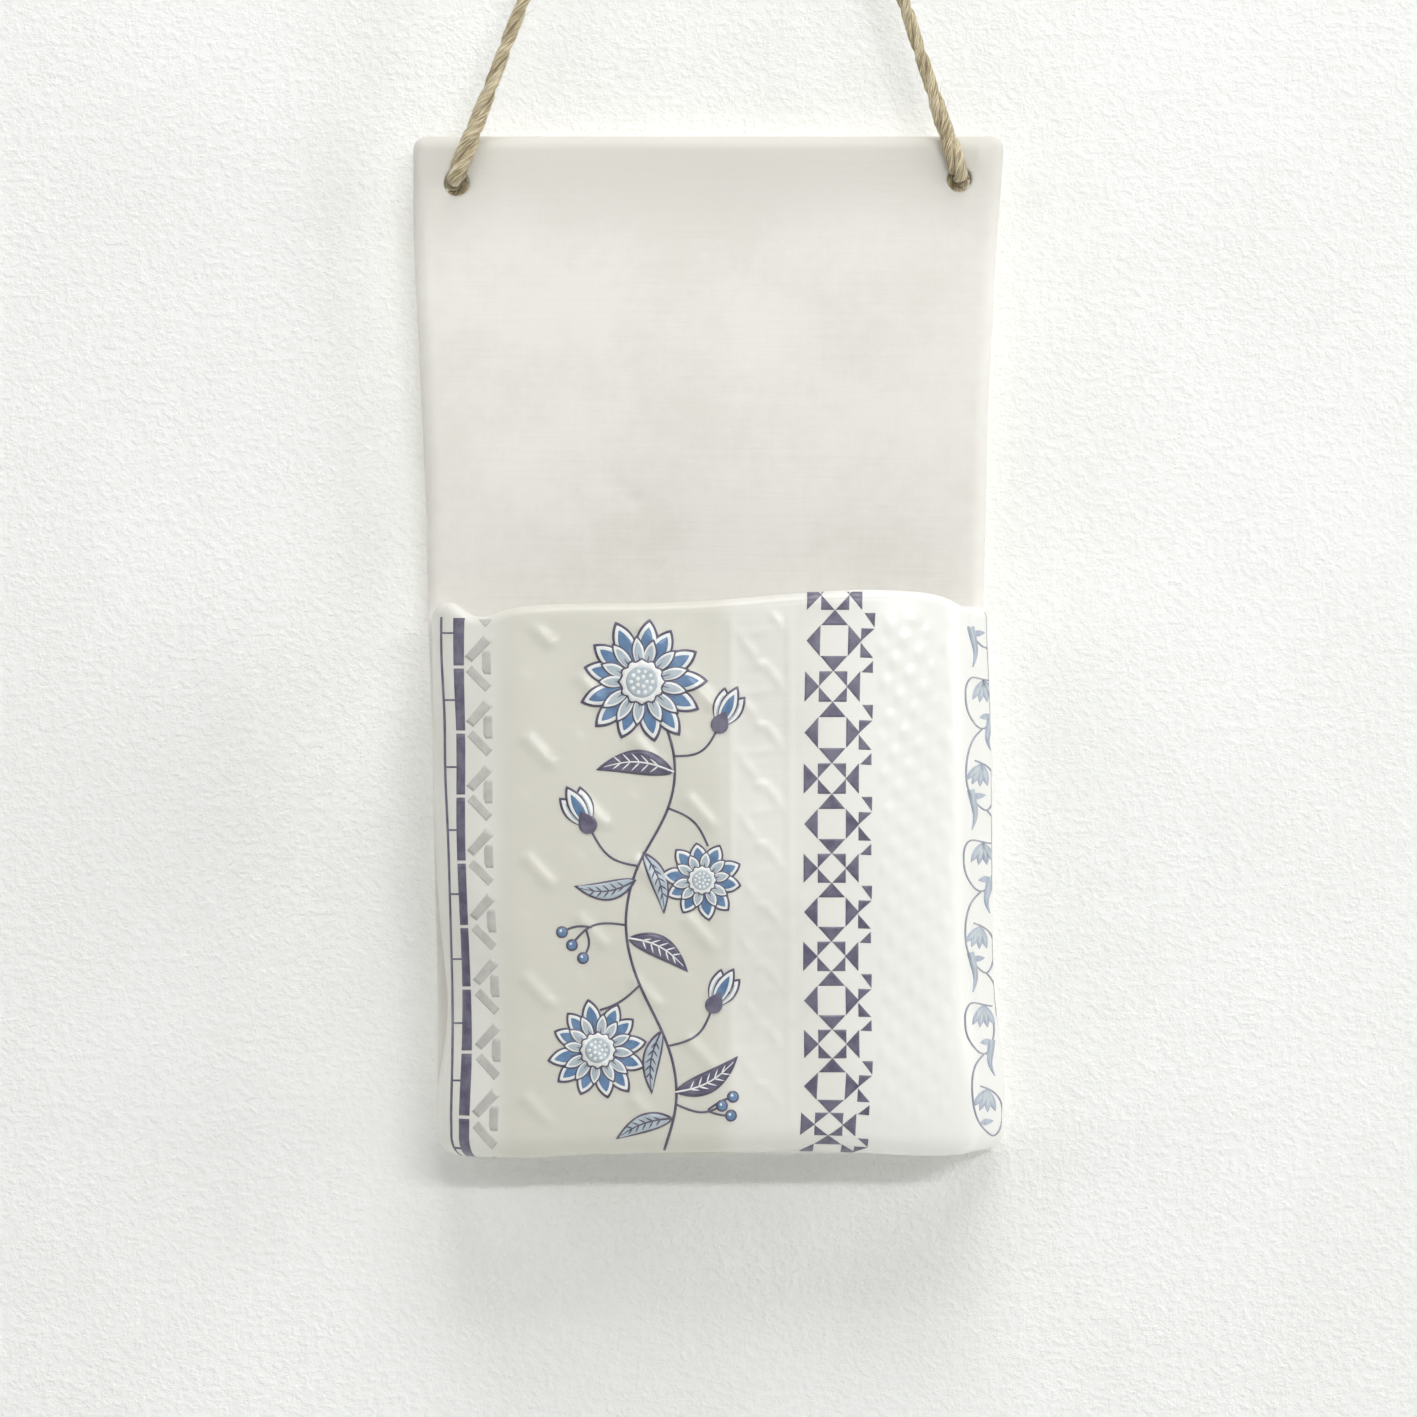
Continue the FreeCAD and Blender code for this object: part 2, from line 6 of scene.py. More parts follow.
import bmesh
import bpy
import numpy as np
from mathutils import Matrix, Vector


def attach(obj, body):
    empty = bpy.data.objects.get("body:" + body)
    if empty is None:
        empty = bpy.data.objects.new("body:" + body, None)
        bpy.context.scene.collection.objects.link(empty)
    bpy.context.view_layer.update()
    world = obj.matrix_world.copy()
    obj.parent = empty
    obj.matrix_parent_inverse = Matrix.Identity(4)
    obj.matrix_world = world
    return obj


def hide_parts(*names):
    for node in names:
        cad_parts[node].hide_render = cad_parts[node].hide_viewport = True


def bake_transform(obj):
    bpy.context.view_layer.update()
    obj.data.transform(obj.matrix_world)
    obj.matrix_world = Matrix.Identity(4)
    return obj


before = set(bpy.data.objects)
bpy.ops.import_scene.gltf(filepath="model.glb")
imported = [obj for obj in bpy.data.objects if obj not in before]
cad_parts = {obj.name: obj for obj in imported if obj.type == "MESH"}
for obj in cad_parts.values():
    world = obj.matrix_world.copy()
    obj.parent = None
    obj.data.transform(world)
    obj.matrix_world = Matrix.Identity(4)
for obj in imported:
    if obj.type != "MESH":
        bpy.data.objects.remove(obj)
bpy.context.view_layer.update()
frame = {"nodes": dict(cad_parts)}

log = logging.getLogger("wall_vase")

# Sizes are in millimetres and go into the meshes in metres. The vase's own frame has x to the
# right, depth towards the wall and height, with the hinge line at depth 0 and height 0.
MM = 0.001
TWINE_DIAMETER = 2.5
SLAB_FRONT = 1.85
SLAB_THICKNESS = 5.0
SLAB_TOP = 7.6
SLAB_FOOT = -171.4
SLAB_CENTRE = -3.1
KNOT_DEPTH = 6.5
HINGE = np.array([0.0, -13.6404, -117.4])
LEAN = math.atan2(KNOT_DEPTH, -SLAB_FOOT)
HOLE_DIAMETER = 4.3
HOLE_RISE = 0.45

# The drawing sheet is the view from the front, counted in 1417 units across and down. One unit is
# this many millimetres at the slab's front, where the eye is this far away.
SHEET_UNIT = 0.17578
SHEET_MIDDLE = 708.5
EYE = (-3.18, -911.8, -210.43)
EYE_DISTANCE = 900.0

FULL_TURN = 2.0 * math.pi
QUARTER_TURN = math.pi / 2.0

Grid = np.ndarray
RGB = tuple[float, float, float]
Place = tuple[float, float]
Table = tuple[tuple[float, ...], ...]
Object = bpy.types.Object
Material = bpy.types.Material
NodeTree = bpy.types.NodeTree
Node = bpy.types.Node
Socket = bpy.types.NodeSocket


class Side(Enum):
    """The two sides of the vase, seen from the front."""

    LEFT = -1
    RIGHT = 1


HOLES = {Side.LEFT: (-47.5, -0.8), Side.RIGHT: (40.9, -0.1)}


def leaned(across: Grid, depth: Grid, height: Grid) -> Grid:
    """Carry points of the vase's own frame to the wall's frame, turned by the lean.

    Args:
        across: x of each point, in millimetres.
        depth: depth of each point towards the wall.
        height: height of each point above the hinge line.

    Returns:
        The same grid of points in metres, with x, y and z last.
    """
    across, depth, height = np.broadcast_arrays(across, depth, height)
    y = HINGE[1] + depth * math.cos(LEAN) - height * math.sin(LEAN)
    z = HINGE[2] + depth * math.sin(LEAN) + height * math.cos(LEAN)
    return np.stack([across, y, z], axis=-1) * MM


def to_world(points: Grid) -> Grid:
    """Carry a grid of x, depth and height to the wall's frame, in metres."""
    return leaned(points[..., 0], points[..., 1], points[..., 2])


def smooth_step(value: Grid) -> Grid:
    """Return 0 below 0, 1 above 1, and a cubic without corners between."""
    share = np.clip(value, 0.0, 1.0)
    return share * share * (3.0 - 2.0 * share)


@dataclass
class SmoothCurve:
    """Cubic curve through a table's rows, with its bend continuous and none at its two ends.

    A row holds the place along the curve and the values there.
    """

    table: Table
    places: Grid = field(init=False)
    values: Grid = field(init=False)
    bends: Grid = field(init=False)

    def __post_init__(self) -> None:
        """Solve the second derivatives at the places from the equal slopes on both sides."""
        rows = np.asarray(self.table, float)
        self.places, self.values = rows[:, 0], rows[:, 1:]
        gaps = np.diff(self.places)
        count = len(self.places)
        system = np.eye(count)
        inner = np.arange(1, count - 1)
        system[inner, inner - 1] = gaps[:-1]
        system[inner, inner] = 2.0 * (gaps[:-1] + gaps[1:])
        system[inner, inner + 1] = gaps[1:]
        slopes = np.diff(self.values, axis=0) / gaps[:, None]
        right = np.zeros_like(self.values)
        right[1:-1] = 6.0 * np.diff(slopes, axis=0)
        self.bends = np.linalg.solve(system, right)

    def at(self, place: Grid) -> Grid:
        """Return the curve's values at some places, one column to each value.

        Args:
            place: places of any shape, held between the first and the last.

        Returns:
            The values, with their own axis last.
        """
        place = np.clip(np.asarray(place, float), self.places[0], self.places[-1])
        low = np.clip(np.searchsorted(self.places, place) - 1, 0, len(self.places) - 2)
        gap = self.places[low + 1] - self.places[low]
        up = ((place - self.places[low]) / gap)[..., None]
        down = 1.0 - up
        cubic = (down**3 - down) * self.bends[low] + (up**3 - up) * self.bends[low + 1]
        straight = down * self.values[low] + up * self.values[low + 1]
        return straight + cubic * (gap[..., None] ** 2) / 6.0


def value_at(table: Table, place: Grid) -> Grid:
    """Return the value at some places of a smooth curve through a table's rows.

    Args:
        table: a place and a value in each row.
        place: places of any shape.

    Returns:
        One value to each place.
    """
    return SmoothCurve(table).at(place)[..., 0]


def grid_faces(
    rows: int, columns: int, ring_rows: bool = False, ring_columns: bool = False
) -> Grid:
    """Four-cornered faces between the neighbours of a grid that is counted row by row.

    Args:
        rows: number of rows.
        columns: number of points in a row.
        ring_rows: True if the last row joins the first.
        ring_columns: True if each row closes on itself.

    Returns:
        The corner numbers of each face.
    """
    row = np.arange(rows if ring_rows else rows - 1)[:, None]
    column = np.arange(columns if ring_columns else columns - 1)[None, :]
    after_row = (row + 1) % rows
    after_column = (column + 1) % columns
    corners = [
        row * columns + column,
        row * columns + after_column,
        after_row * columns + after_column,
        after_row * columns + column,
    ]
    return np.stack(np.broadcast_arrays(*corners), axis=-1).reshape(-1, 4)


def shell_faces(flat: Grid, rows: int, columns: int) -> Grid:
    """Close a grid and its copy behind it into a shell.

    Args:
        flat: the grid's own faces.
        rows: number of rows.
        columns: number of points in a row.

    Returns:
        The faces of both, and of the band between their outer edges.
    """
    size = rows * columns
    order = np.arange(size).reshape(rows, columns)
    rim = np.r_[order[0, :-1], order[:-1, -1], order[-1, :0:-1], order[:0:-1, 0]]
    after = np.roll(rim, -1)
    band = np.stack([rim, rim + size, after + size, after], axis=1)
    return np.concatenate([flat, flat[:, ::-1] + size, band])


@dataclass
class Stock:
    """Points and faces of one piece, gathered part by part."""

    points: list[Grid] = field(default_factory=list)
    faces: list[Grid] = field(default_factory=list)
    marks: list[Grid] = field(default_factory=list)
    count: int = 0

    def add(self, points: Grid, faces: Grid, marks: Grid | None = None) -> None:
        """Add a part.

        Args:
            points: its points, in metres.
            faces: its faces, counted from its own first point.
            marks: one vector for each point that its finish reads, or None.
        """
        flat = points.reshape(-1, 3)
        self.points.append(flat)
        self.faces.append(faces + self.count)
        self.marks.append(np.zeros_like(flat) if marks is None else marks.reshape(-1, 3))
        self.count += len(flat)

    def piece(self, name: str, marks: str = "") -> Object:
        """Make the piece's object, leaving out points that no face uses.

        Args:
            name: the piece's name.
            marks: name of the attribute that keeps the marks, or nothing.

        Returns:
            The smooth-shaded object at the origin.
        """
        points = np.concatenate(self.points)
        faces = np.concatenate(self.faces)
        used, faces = np.unique(faces, return_inverse=True)
        faces = faces.reshape(-1, 4)
        mesh = bpy.data.meshes.new(name)
        mesh.from_pydata(points[used].tolist(), [], faces.tolist())
        mesh.polygons.foreach_set("use_smooth", np.ones(len(faces), bool))
        if marks:
            attribute = mesh.attributes.new(marks, "FLOAT_VECTOR", "POINT")
            attribute.data.foreach_set("vector", np.concatenate(self.marks)[used].ravel())
        mesh.update()
        made = bpy.data.objects.new(name, mesh)
        bpy.context.scene.collection.objects.link(made)
        return made


def close_seams(piece: Object, gap: float = 0.000002) -> None:
    """Merge doubled points and turn every face outwards.

    Args:
        piece: the piece whose mesh is closed.
        gap: how far apart doubled points may be, in metres.
    """
    shape = bmesh.new()
    shape.from_mesh(piece.data)
    bmesh.ops.remove_doubles(shape, verts=shape.verts, dist=gap)
    bmesh.ops.recalc_face_normals(shape, faces=shape.faces)
    shape.to_mesh(piece.data)
    shape.free()
    piece.data.update()


def dress(piece: Object, slot: str, material: Material) -> None:
    """Give a piece its material and log it with the record's slot.

    Args:
        piece: the finished piece.
        slot: the record's slot.
        material: the finish of the whole piece.
    """
    piece.data.materials.append(material)
    log.info("%s: %d faces in slot %s", piece.name, len(piece.data.polygons), slot)


def place_piece(piece: Object, slot: str, material: Material) -> None:
    """Dress a piece and let it ride on the vase's body.

    Args:
        piece: the finished piece.
        slot: the record's slot.
        material: the finish of the whole piece.
    """
    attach(piece, "vase")
    dress(piece, slot, material)


# Finishes


@dataclass
class Nodes:
    """Shorthand for adding and joining the nodes of one material or group."""

    tree: NodeTree

    def add(self, kind: str, **settings: object) -> Node:
        """Add a node and set some of its properties.

        Args:
            kind: the node's type.
            settings: values of its properties, by name.

        Returns:
            The node.
        """
        node = self.tree.nodes.new(kind)
        for name, value in settings.items():
            setattr(node, name, value)
        return node

    def feed(self, socket: Socket, value: object) -> None:
        """Join an output to a socket, or set the socket to a plain value.

        Args:
            socket: the input that is fed.
            value: an output or a plain value.
        """
        if isinstance(value, bpy.types.NodeSocket):
            self.tree.links.new(value, socket)
        else:
            socket.default_value = value

    def math(self, operation: str, *values: object) -> Socket:
        """Work out one number from others.

        Args:
            operation: the name of what is done with them.
            values: outputs or plain numbers.

        Returns:
            The output with the result.
        """
        node = self.add("ShaderNodeMath", operation=operation)
        for socket, value in zip(node.inputs, values):
            self.feed(socket, value)
        return node.outputs[0]

    def noise(
        self, place: Socket, scale: object, detail: float = 2.0, rough: float = 0.5
    ) -> Socket:
        """Make smooth noise.

        Args:
            place: where it is read.
            scale: number of its lumps in a metre.
            detail: number of finer layers on it.
            rough: how strong each finer layer is beside the one before.

        Returns:
            The output with the noise, from 0 to 1.
        """
        node = self.add("ShaderNodeTexNoise")
        self.feed(node.inputs["Vector"], place)
        self.feed(node.inputs["Scale"], scale)
        self.feed(node.inputs["Detail"], detail)
        self.feed(node.inputs["Roughness"], rough)
        return node.outputs["Fac"]

    def stretched(self, place: Socket, scale: tuple[float, float, float]) -> Socket:
        """Return a place with each of its axes scaled."""
        node = self.add("ShaderNodeMapping")
        self.feed(node.inputs["Vector"], place)
        node.inputs["Scale"].default_value = scale
        return node.outputs[0]

    def between(
        self, value: Socket, low: float, high: float, first: float = 0.0, last: float = 1.0
    ) -> Socket:
        """Carry a value smoothly from one range to another, held at both ends.

        Args:
            value: the value.
            low: start of its own range.
            high: end of its own range.
            first: the result at the start.
            last: the result at the end.

        Returns:
            The output with the result.
        """
        node = self.add("ShaderNodeMapRange", interpolation_type="SMOOTHSTEP")
        for socket, number in zip(node.inputs, (value, low, high, first, last)):
            self.feed(socket, number)
        return node.outputs[0]

    def mix(self, share: object, first: object, second: object) -> Socket:
        """Mix two colours.

        Args:
            share: share of the second, from 0 to 1.
            first: the colour at 0.
            second: the colour at 1.

        Returns:
            The output with the mixed colour.
        """
        node = self.add("ShaderNodeMix", data_type="RGBA")
        self.feed(node.inputs[0], share)
        self.feed(node.inputs[6], first)
        self.feed(node.inputs[7], second)
        return node.outputs[2]

    def bump(self, height: Socket, distance: float, strength: float = 1.0) -> Socket:
        """Bump the surface's normal.

        Args:
            height: the bumps' height, from 0 to 1.
            distance: the height of 1, in metres.
            strength: share of the bump that counts.

        Returns:
            The output with the normal.
        """
        node = self.add("ShaderNodeBump")
        node.inputs["Strength"].default_value = strength
        node.inputs["Distance"].default_value = distance
        self.feed(node.inputs["Height"], height)
        return node.outputs[0]


def rgba(colour: RGB) -> tuple[float, float, float, float]:
    """Return a colour, given as it shows on a screen, as the linear one that nodes take."""
    parts = np.array(colour)
    linear = np.where(parts <= 0.04045, parts / 12.92, ((parts + 0.055) / 1.055) ** 2.4)
    return (*linear.tolist(), 1.0)


def start_group(
    name: str, inputs: dict[str, str], outputs: dict[str, str]
) -> tuple[Nodes, Node, Node]:
    """Start a node group with named sockets.

    Args:
        name: the group's name.
        inputs: socket type of each input, by name.
        outputs: socket type of each output, by name.

    Returns:
        The group's nodes, its input node and its output node.
    """
    tree = bpy.data.node_groups.new(name, "ShaderNodeTree")
    for side, sockets in (("INPUT", inputs), ("OUTPUT", outputs)):
        for label, kind in sockets.items():
            tree.interface.new_socket(name=label, in_out=side, socket_type=kind)
    nodes = Nodes(tree)
    return nodes, nodes.add("NodeGroupInput"), nodes.add("NodeGroupOutput")


def make_mottle() -> NodeTree:
    """Build the group for uneven colour: broad clouds and small specks between two colours.

    Returns:
        The group, with the colour and the specks' height as outputs.
    """
    nodes, given, made = start_group(
        "mottle",
        {
            "Place": "NodeSocketVector",
            "Pale": "NodeSocketColor",
            "Dark": "NodeSocketColor",
            "Scale": "NodeSocketFloat",
        },
        {"Color": "NodeSocketColor", "Height": "NodeSocketFloat"},
    )
    place, scale = given.outputs["Place"], given.outputs["Scale"]
    clouds = nodes.noise(place, scale, 3.0)
    fine = nodes.noise(place, nodes.math("MULTIPLY", scale, 9.0), 4.0, 0.6)
    both = nodes.math("ADD", nodes.math("MULTIPLY", clouds, 0.7), nodes.math("MULTIPLY", fine, 0.3))
    share = nodes.between(both, 0.36, 0.62)
    colour = nodes.mix(share, given.outputs["Dark"], given.outputs["Pale"])
    nodes.feed(made.inputs["Color"], colour)
    nodes.feed(made.inputs["Height"], fine)
    return nodes.tree


def make_linen() -> NodeTree:
    """Build the group for the marks that a linen cloth leaves in rolled clay.

    Threads run across and up, each a row of noise drawn out along its length.

    Returns:
        The group, with the marks' height as output.
    """
    nodes, given, made = start_group(
        "linen_marks",
        {"Place": "NodeSocketVector", "Pitch": "NodeSocketFloat"},
        {"Height": "NodeSocketFloat"},
    )
    place, pitch = given.outputs["Place"], given.outputs["Pitch"]
    across = nodes.noise(nodes.stretched(place, (0.05, 0.4, 1.0)), pitch, 3.0, 0.6)
    upright = nodes.noise(nodes.stretched(place, (1.0, 0.4, 0.07)), pitch, 2.0, 0.5)
    wave = nodes.math("ADD", across, nodes.math("MULTIPLY", upright, 0.35))
    nodes.feed(made.inputs["Height"], wave)
    return nodes.tree


@dataclass(frozen=True)
class Finish:
    """What every finish shares: a name, two tones and the size of the clouds between them."""

    name: str
    pale: RGB
    dark: RGB
    cloud_scale: float = 20.0
    coat_roughness: float = 0.24

    def start(self) -> tuple[Material, Nodes, Node, Socket]:
        """Start the material.

        Returns:
            The material, its nodes, its shader and the object's coordinates.
        """
        material = bpy.data.materials.new(self.name)
        material.use_nodes = True
        nodes = Nodes(material.node_tree)
        shader = material.node_tree.nodes["Principled BSDF"]
        return material, nodes, shader, nodes.add("ShaderNodeTexCoord").outputs["Object"]

    def tones(self, nodes: Nodes, mottle: NodeTree, place: Socket) -> tuple[Socket, Socket]:
        """Spread the two tones by the mottle group.

        Args:
            nodes: the material's nodes.
            mottle: the group for uneven colour.
            place: the object's coordinates.

        Returns:
            The colour, and the height of its specks.
        """
        node = nodes.add("ShaderNodeGroup", node_tree=mottle)
        given = (place, rgba(self.pale), rgba(self.dark), self.cloud_scale)
        for label, value in zip(("Place", "Pale", "Dark", "Scale"), given):
            nodes.feed(node.inputs[label], value)
        return node.outputs["Color"], node.outputs["Height"]

    def coat(self, shader: Node, weight: float) -> None:
        """Put a clear glaze on the shader, as thick as its weight."""
        shader.inputs["Coat Weight"].default_value = weight
        shader.inputs["Coat Roughness"].default_value = self.coat_roughness


@dataclass(frozen=True)
class ToneAndLightBand:
    """A band of another tone across the clay, with soft ends, in metres along one axis. One paints
    shade over the slab's top, one light on the pocket's right, and one a cream tone darkened by
    painted shade on the pocket's left.
    """

    axis: str
    start: float
    end: float
    soft: float
    tone: RGB


@dataclass(frozen=True)
class ClayFinish(Finish):
    """Fired clay with linen marks, bare and matt or under a glaze, with bands of painted shade,
    painted light and a cream tone.
    """

    pale: RGB = (0.923, 0.915, 0.889)
    dark: RGB = (0.893, 0.882, 0.852)
    cloud_scale: float = 38.0
    roughness: float = 0.62
    glaze: float = 0.0
    marks: float = 0.00005
    thread_pitch: float = 700.0
    bands: tuple[ToneAndLightBand, ...] = ()
    band_share: float = 0.92

    def material(self, mottle: NodeTree, linen: NodeTree) -> Material:
        """Build the material.

        Args:
            mottle: the group for uneven colour.
            linen: the group for linen marks.

        Returns:
            The material.
        """
        made, nodes, shader, place = self.start()
        tone, specks = self.tones(nodes, mottle, place)
        axes = nodes.add("ShaderNodeSeparateXYZ")
        nodes.feed(axes.inputs[0], place)
        # Each band mixes in its tone: painted shade at the slab's top, painted light on the
        # pocket's right, a cream tone with painted shade on its left.
        for band in self.bands:
            along, soft = axes.outputs[band.axis], band.soft
            after = nodes.between(along, band.start - soft, band.start + soft)
            before = nodes.between(along, band.end - soft, band.end + soft, 1.0, 0.0)
            inside = nodes.math("MULTIPLY", nodes.math("MULTIPLY", after, before), self.band_share)
            tone = nodes.mix(inside, tone, rgba(band.tone))
        nodes.feed(shader.inputs["Base Color"], tone)
        rough = nodes.between(specks, 0.3, 0.7, self.roughness - 0.08, self.roughness + 0.08)
        nodes.feed(shader.inputs["Roughness"], rough)
        cloth = nodes.add("ShaderNodeGroup", node_tree=linen)
        nodes.feed(cloth.inputs["Place"], place)
        nodes.feed(cloth.inputs["Pitch"], self.thread_pitch)
        grain = nodes.math("MULTIPLY", nodes.noise(place, 2600.0, 2.0), 0.25)
        height = nodes.math("ADD", cloth.outputs["Height"], grain)
        nodes.feed(shader.inputs["Normal"], nodes.bump(height, self.marks))
        self.coat(shader, self.glaze)
        return made


@dataclass(frozen=True)
class PrintFinish(Finish):
    """Printed glaze colour, a little uneven as the clay took it, under the same clear coat."""

    cloud_scale: float = 420.0

    def material(self, mottle: NodeTree) -> Material:
        """Build the material from the mottle group."""
        made, nodes, shader, place = self.start()
        tone, specks = self.tones(nodes, mottle, place)
        nodes.feed(shader.inputs["Base Color"], tone)
        nodes.feed(shader.inputs["Roughness"], nodes.between(specks, 0.3, 0.7, 0.34, 0.50))
        nodes.feed(shader.inputs["Normal"], nodes.bump(specks, 0.00002))
        self.coat(shader, 0.4)
        return made


@dataclass(frozen=True)
class JuteFinish(Finish):
    """Two-ply jute, whose fibres run along the piece's own marks."""

    pale: RGB = (0.95, 0.91, 0.79)
    middle: RGB = (0.82, 0.76, 0.63)
    dark: RGB = (0.52, 0.46, 0.33)

    def material(self) -> Material:
        """Build the material: streaks drawn out along the fibres, lighter and darker."""
        made, nodes, shader, _ = self.start()
        marks = nodes.add("ShaderNodeAttribute", attribute_name="fibre").outputs["Vector"]
        streaks = nodes.noise(nodes.stretched(marks, (0.12, 1.0, 1.0)), 4.2, 4.0, 0.65)
        clouds = nodes.noise(nodes.stretched(marks, (0.3, 0.5, 0.5)), 0.9, 2.0)
        shade = nodes.mix(nodes.between(streaks, 0.40, 0.62), rgba(self.dark), rgba(self.middle))
        lit = nodes.mix(nodes.between(streaks, 0.50, 0.72), shade, rgba(self.pale))
        faded = nodes.mix(nodes.between(clouds, 0.35, 0.75, 0.0, 0.35), lit, rgba(self.pale))
        nodes.feed(shader.inputs["Base Color"], faded)
        nodes.feed(shader.inputs["Roughness"], nodes.between(streaks, 0.3, 0.7, 0.95, 0.75))
        nodes.feed(shader.inputs["Normal"], nodes.bump(streaks, 0.00012))
        shader.inputs["Sheen Weight"].default_value = 0.25
        shader.inputs["Sheen Roughness"].default_value = 0.5
        return made


@dataclass(frozen=True)
class GrainedFinish(Finish):
    """Metal or plastic whose grain sets its roughness: zinc plate, or moulded nylon."""

    metallic: float = 0.0
    grain_stretch: tuple[float, float, float] = (1.0, 1.0, 1.0)
    grain_scale: float = 900.0
    smoothest: float = 0.24
    roughest: float = 0.42

    def material(self, mottle: NodeTree) -> Material:
        """Build the material from the mottle group."""
        made, nodes, shader, place = self.start()
        shader.inputs["Metallic"].default_value = self.metallic
        nodes.feed(shader.inputs["Base Color"], self.tones(nodes, mottle, place)[0])
        grain = nodes.noise(nodes.stretched(place, self.grain_stretch), self.grain_scale, 2.0)
        rough = nodes.between(grain, 0.3, 0.7, self.smoothest, self.roughest)
        nodes.feed(shader.inputs["Roughness"], rough)
        nodes.feed(shader.inputs["Normal"], nodes.bump(grain, 0.00002))
        return made


@dataclass(frozen=True)
class PlasterFinish(Finish):
    """Pale rendered wall for the studio, clear from behind and to lamps so that the back shows."""

    pale: RGB = (0.972, 0.975, 0.966)
    dark: RGB = (0.955, 0.958, 0.948)

    def material(self, mottle: NodeTree) -> Material:
        """Build the material, clear where the camera or a lamp's ray meets its back.

        Lamps shine through it from both sides, but only one hangs behind it, for the vase's back.

        Args:
            mottle: the group for uneven colour.

        Returns:
            The material.
        """
        made, nodes, shader, place = self.start()
        nodes.feed(shader.inputs["Base Color"], self.tones(nodes, mottle, place)[0])
        shader.inputs["Roughness"].default_value = 0.95
        lumps = nodes.noise(nodes.stretched(place, (0.95, 1.0, 1.1)), 640.0, 4.0, 0.6)
        crumbs = nodes.between(nodes.noise(place, 1500.0, 2.0, 0.6), 0.56, 0.70, 0.0, 0.45)
        height = nodes.math("ADD", nodes.between(lumps, 0.40, 0.66), crumbs)
        nodes.feed(shader.inputs["Normal"], nodes.bump(height, 0.0003, 0.5))
        behind = nodes.add("ShaderNodeNewGeometry").outputs["Backfacing"]
        from_lamp = nodes.add("ShaderNodeLightPath").outputs["Is Shadow Ray"]
        clear = nodes.add("ShaderNodeBsdfTransparent")
        either = nodes.add("ShaderNodeMixShader")
        nodes.feed(either.inputs[0], nodes.math("MAXIMUM", behind, from_lamp))
        nodes.feed(either.inputs[1], shader.outputs[0])
        nodes.feed(either.inputs[2], clear.outputs[0])
        surface = made.node_tree.nodes["Material Output"].inputs["Surface"]
        nodes.feed(surface, either.outputs[0])
        return made


# Camera and twine


@dataclass
class ViewCamera:
    """The camera, square to the wall, with the view's width at the slab's front."""

    place: tuple[float, float, float] = EYE
    distance: float = EYE_DISTANCE
    view_width: float = 249.08
    sensor: float = 36.0

    def build(self) -> None:
        """Make the camera and give it to the scene."""
        data = bpy.data.cameras.new("camera")
        data.sensor_width = self.sensor
        data.lens = self.sensor * self.distance / self.view_width
        data.clip_start = 0.01
        data.clip_end = 50.0
        camera = bpy.data.objects.new("camera", data)
        camera.location = Vector(self.place) * MM
        camera.rotation_euler = (QUARTER_TURN, 0.0, 0.0)
        bpy.context.scene.collection.objects.link(camera)
        bpy.context.scene.camera = camera


def read_route(points: Grid, name: str) -> Grid:
    """Read the line that a smooth spline takes between its control points.

    Args:
        points: the control points, in metres.
        name: a name for the spline while it is read.

    Returns:
        The line's points in order, in metres.
    """
    curve = bpy.data.curves.new(name, "CURVE")
    curve.dimensions = "3D"
    spline = curve.splines.new("NURBS")
    spline.points.add(len(points) - 1)
    spline.points.foreach_set("co", np.c_[points, np.ones(len(points))].ravel())
    spline.order_u = 3
    spline.use_endpoint_u = True
    spline.resolution_u = 32
    holder = bpy.data.objects.new(name, curve)
    bpy.context.scene.collection.objects.link(holder)
    bpy.context.view_layer.update()
    mesh = bpy.data.meshes.new_from_object(holder)
    line = np.zeros(len(mesh.vertices) * 3)
    mesh.vertices.foreach_get("co", line)
    bpy.data.objects.remove(holder)
    bpy.data.curves.remove(curve)
    bpy.data.meshes.remove(mesh)
    return line.reshape(-1, 3)


def even_steps(line: Grid, step: float) -> tuple[Grid, Grid]:
    """Walk a line in even steps.

    Args:
        line: points along it.
        step: the wanted length of a step.

    Returns:
        The points of the walk, and how far along each one is.
    """
    gaps = np.linalg.norm(np.diff(line, axis=0), axis=1)
    keep = np.r_[True, gaps > 1e-9]
    line = line[keep]
    along = np.r_[0.0, np.cumsum(gaps[gaps > 1e-9])]
    walked = np.linspace(0.0, along[-1], max(3, int(round(along[-1] / step)) + 1))
    return np.stack([np.interp(walked, along, line[:, axis]) for axis in range(3)], axis=1), walked


def carried_frames(line: Grid) -> tuple[Grid, Grid]:
    """Find two sideways directions at each point of a line, without extra twist.

    The first is the direction in which the whole line is flattest, less its part along the line.
    Where little of that is left, it is square to the line and to the direction in which the line
    is second flattest. The second is square to the line and to the first.

    Args:
        line: points along it, close together.

    Returns:
        The two directions at each point.
    """
    along = np.gradient(line, axis=0)
    along /= np.linalg.norm(along, axis=1)[:, None]
    spread = np.linalg.svd(line - line.mean(0), full_matrices=False)[2]
    flat = spread[2] / np.linalg.norm(spread[2])
    first = flat - (along @ flat)[:, None] * along
    short = np.linalg.norm(first, axis=1) < 0.2
    first[short] = np.cross(along[short], spread[1])
    first /= np.linalg.norm(first, axis=1)[:, None]
    return first, np.cross(along, first)


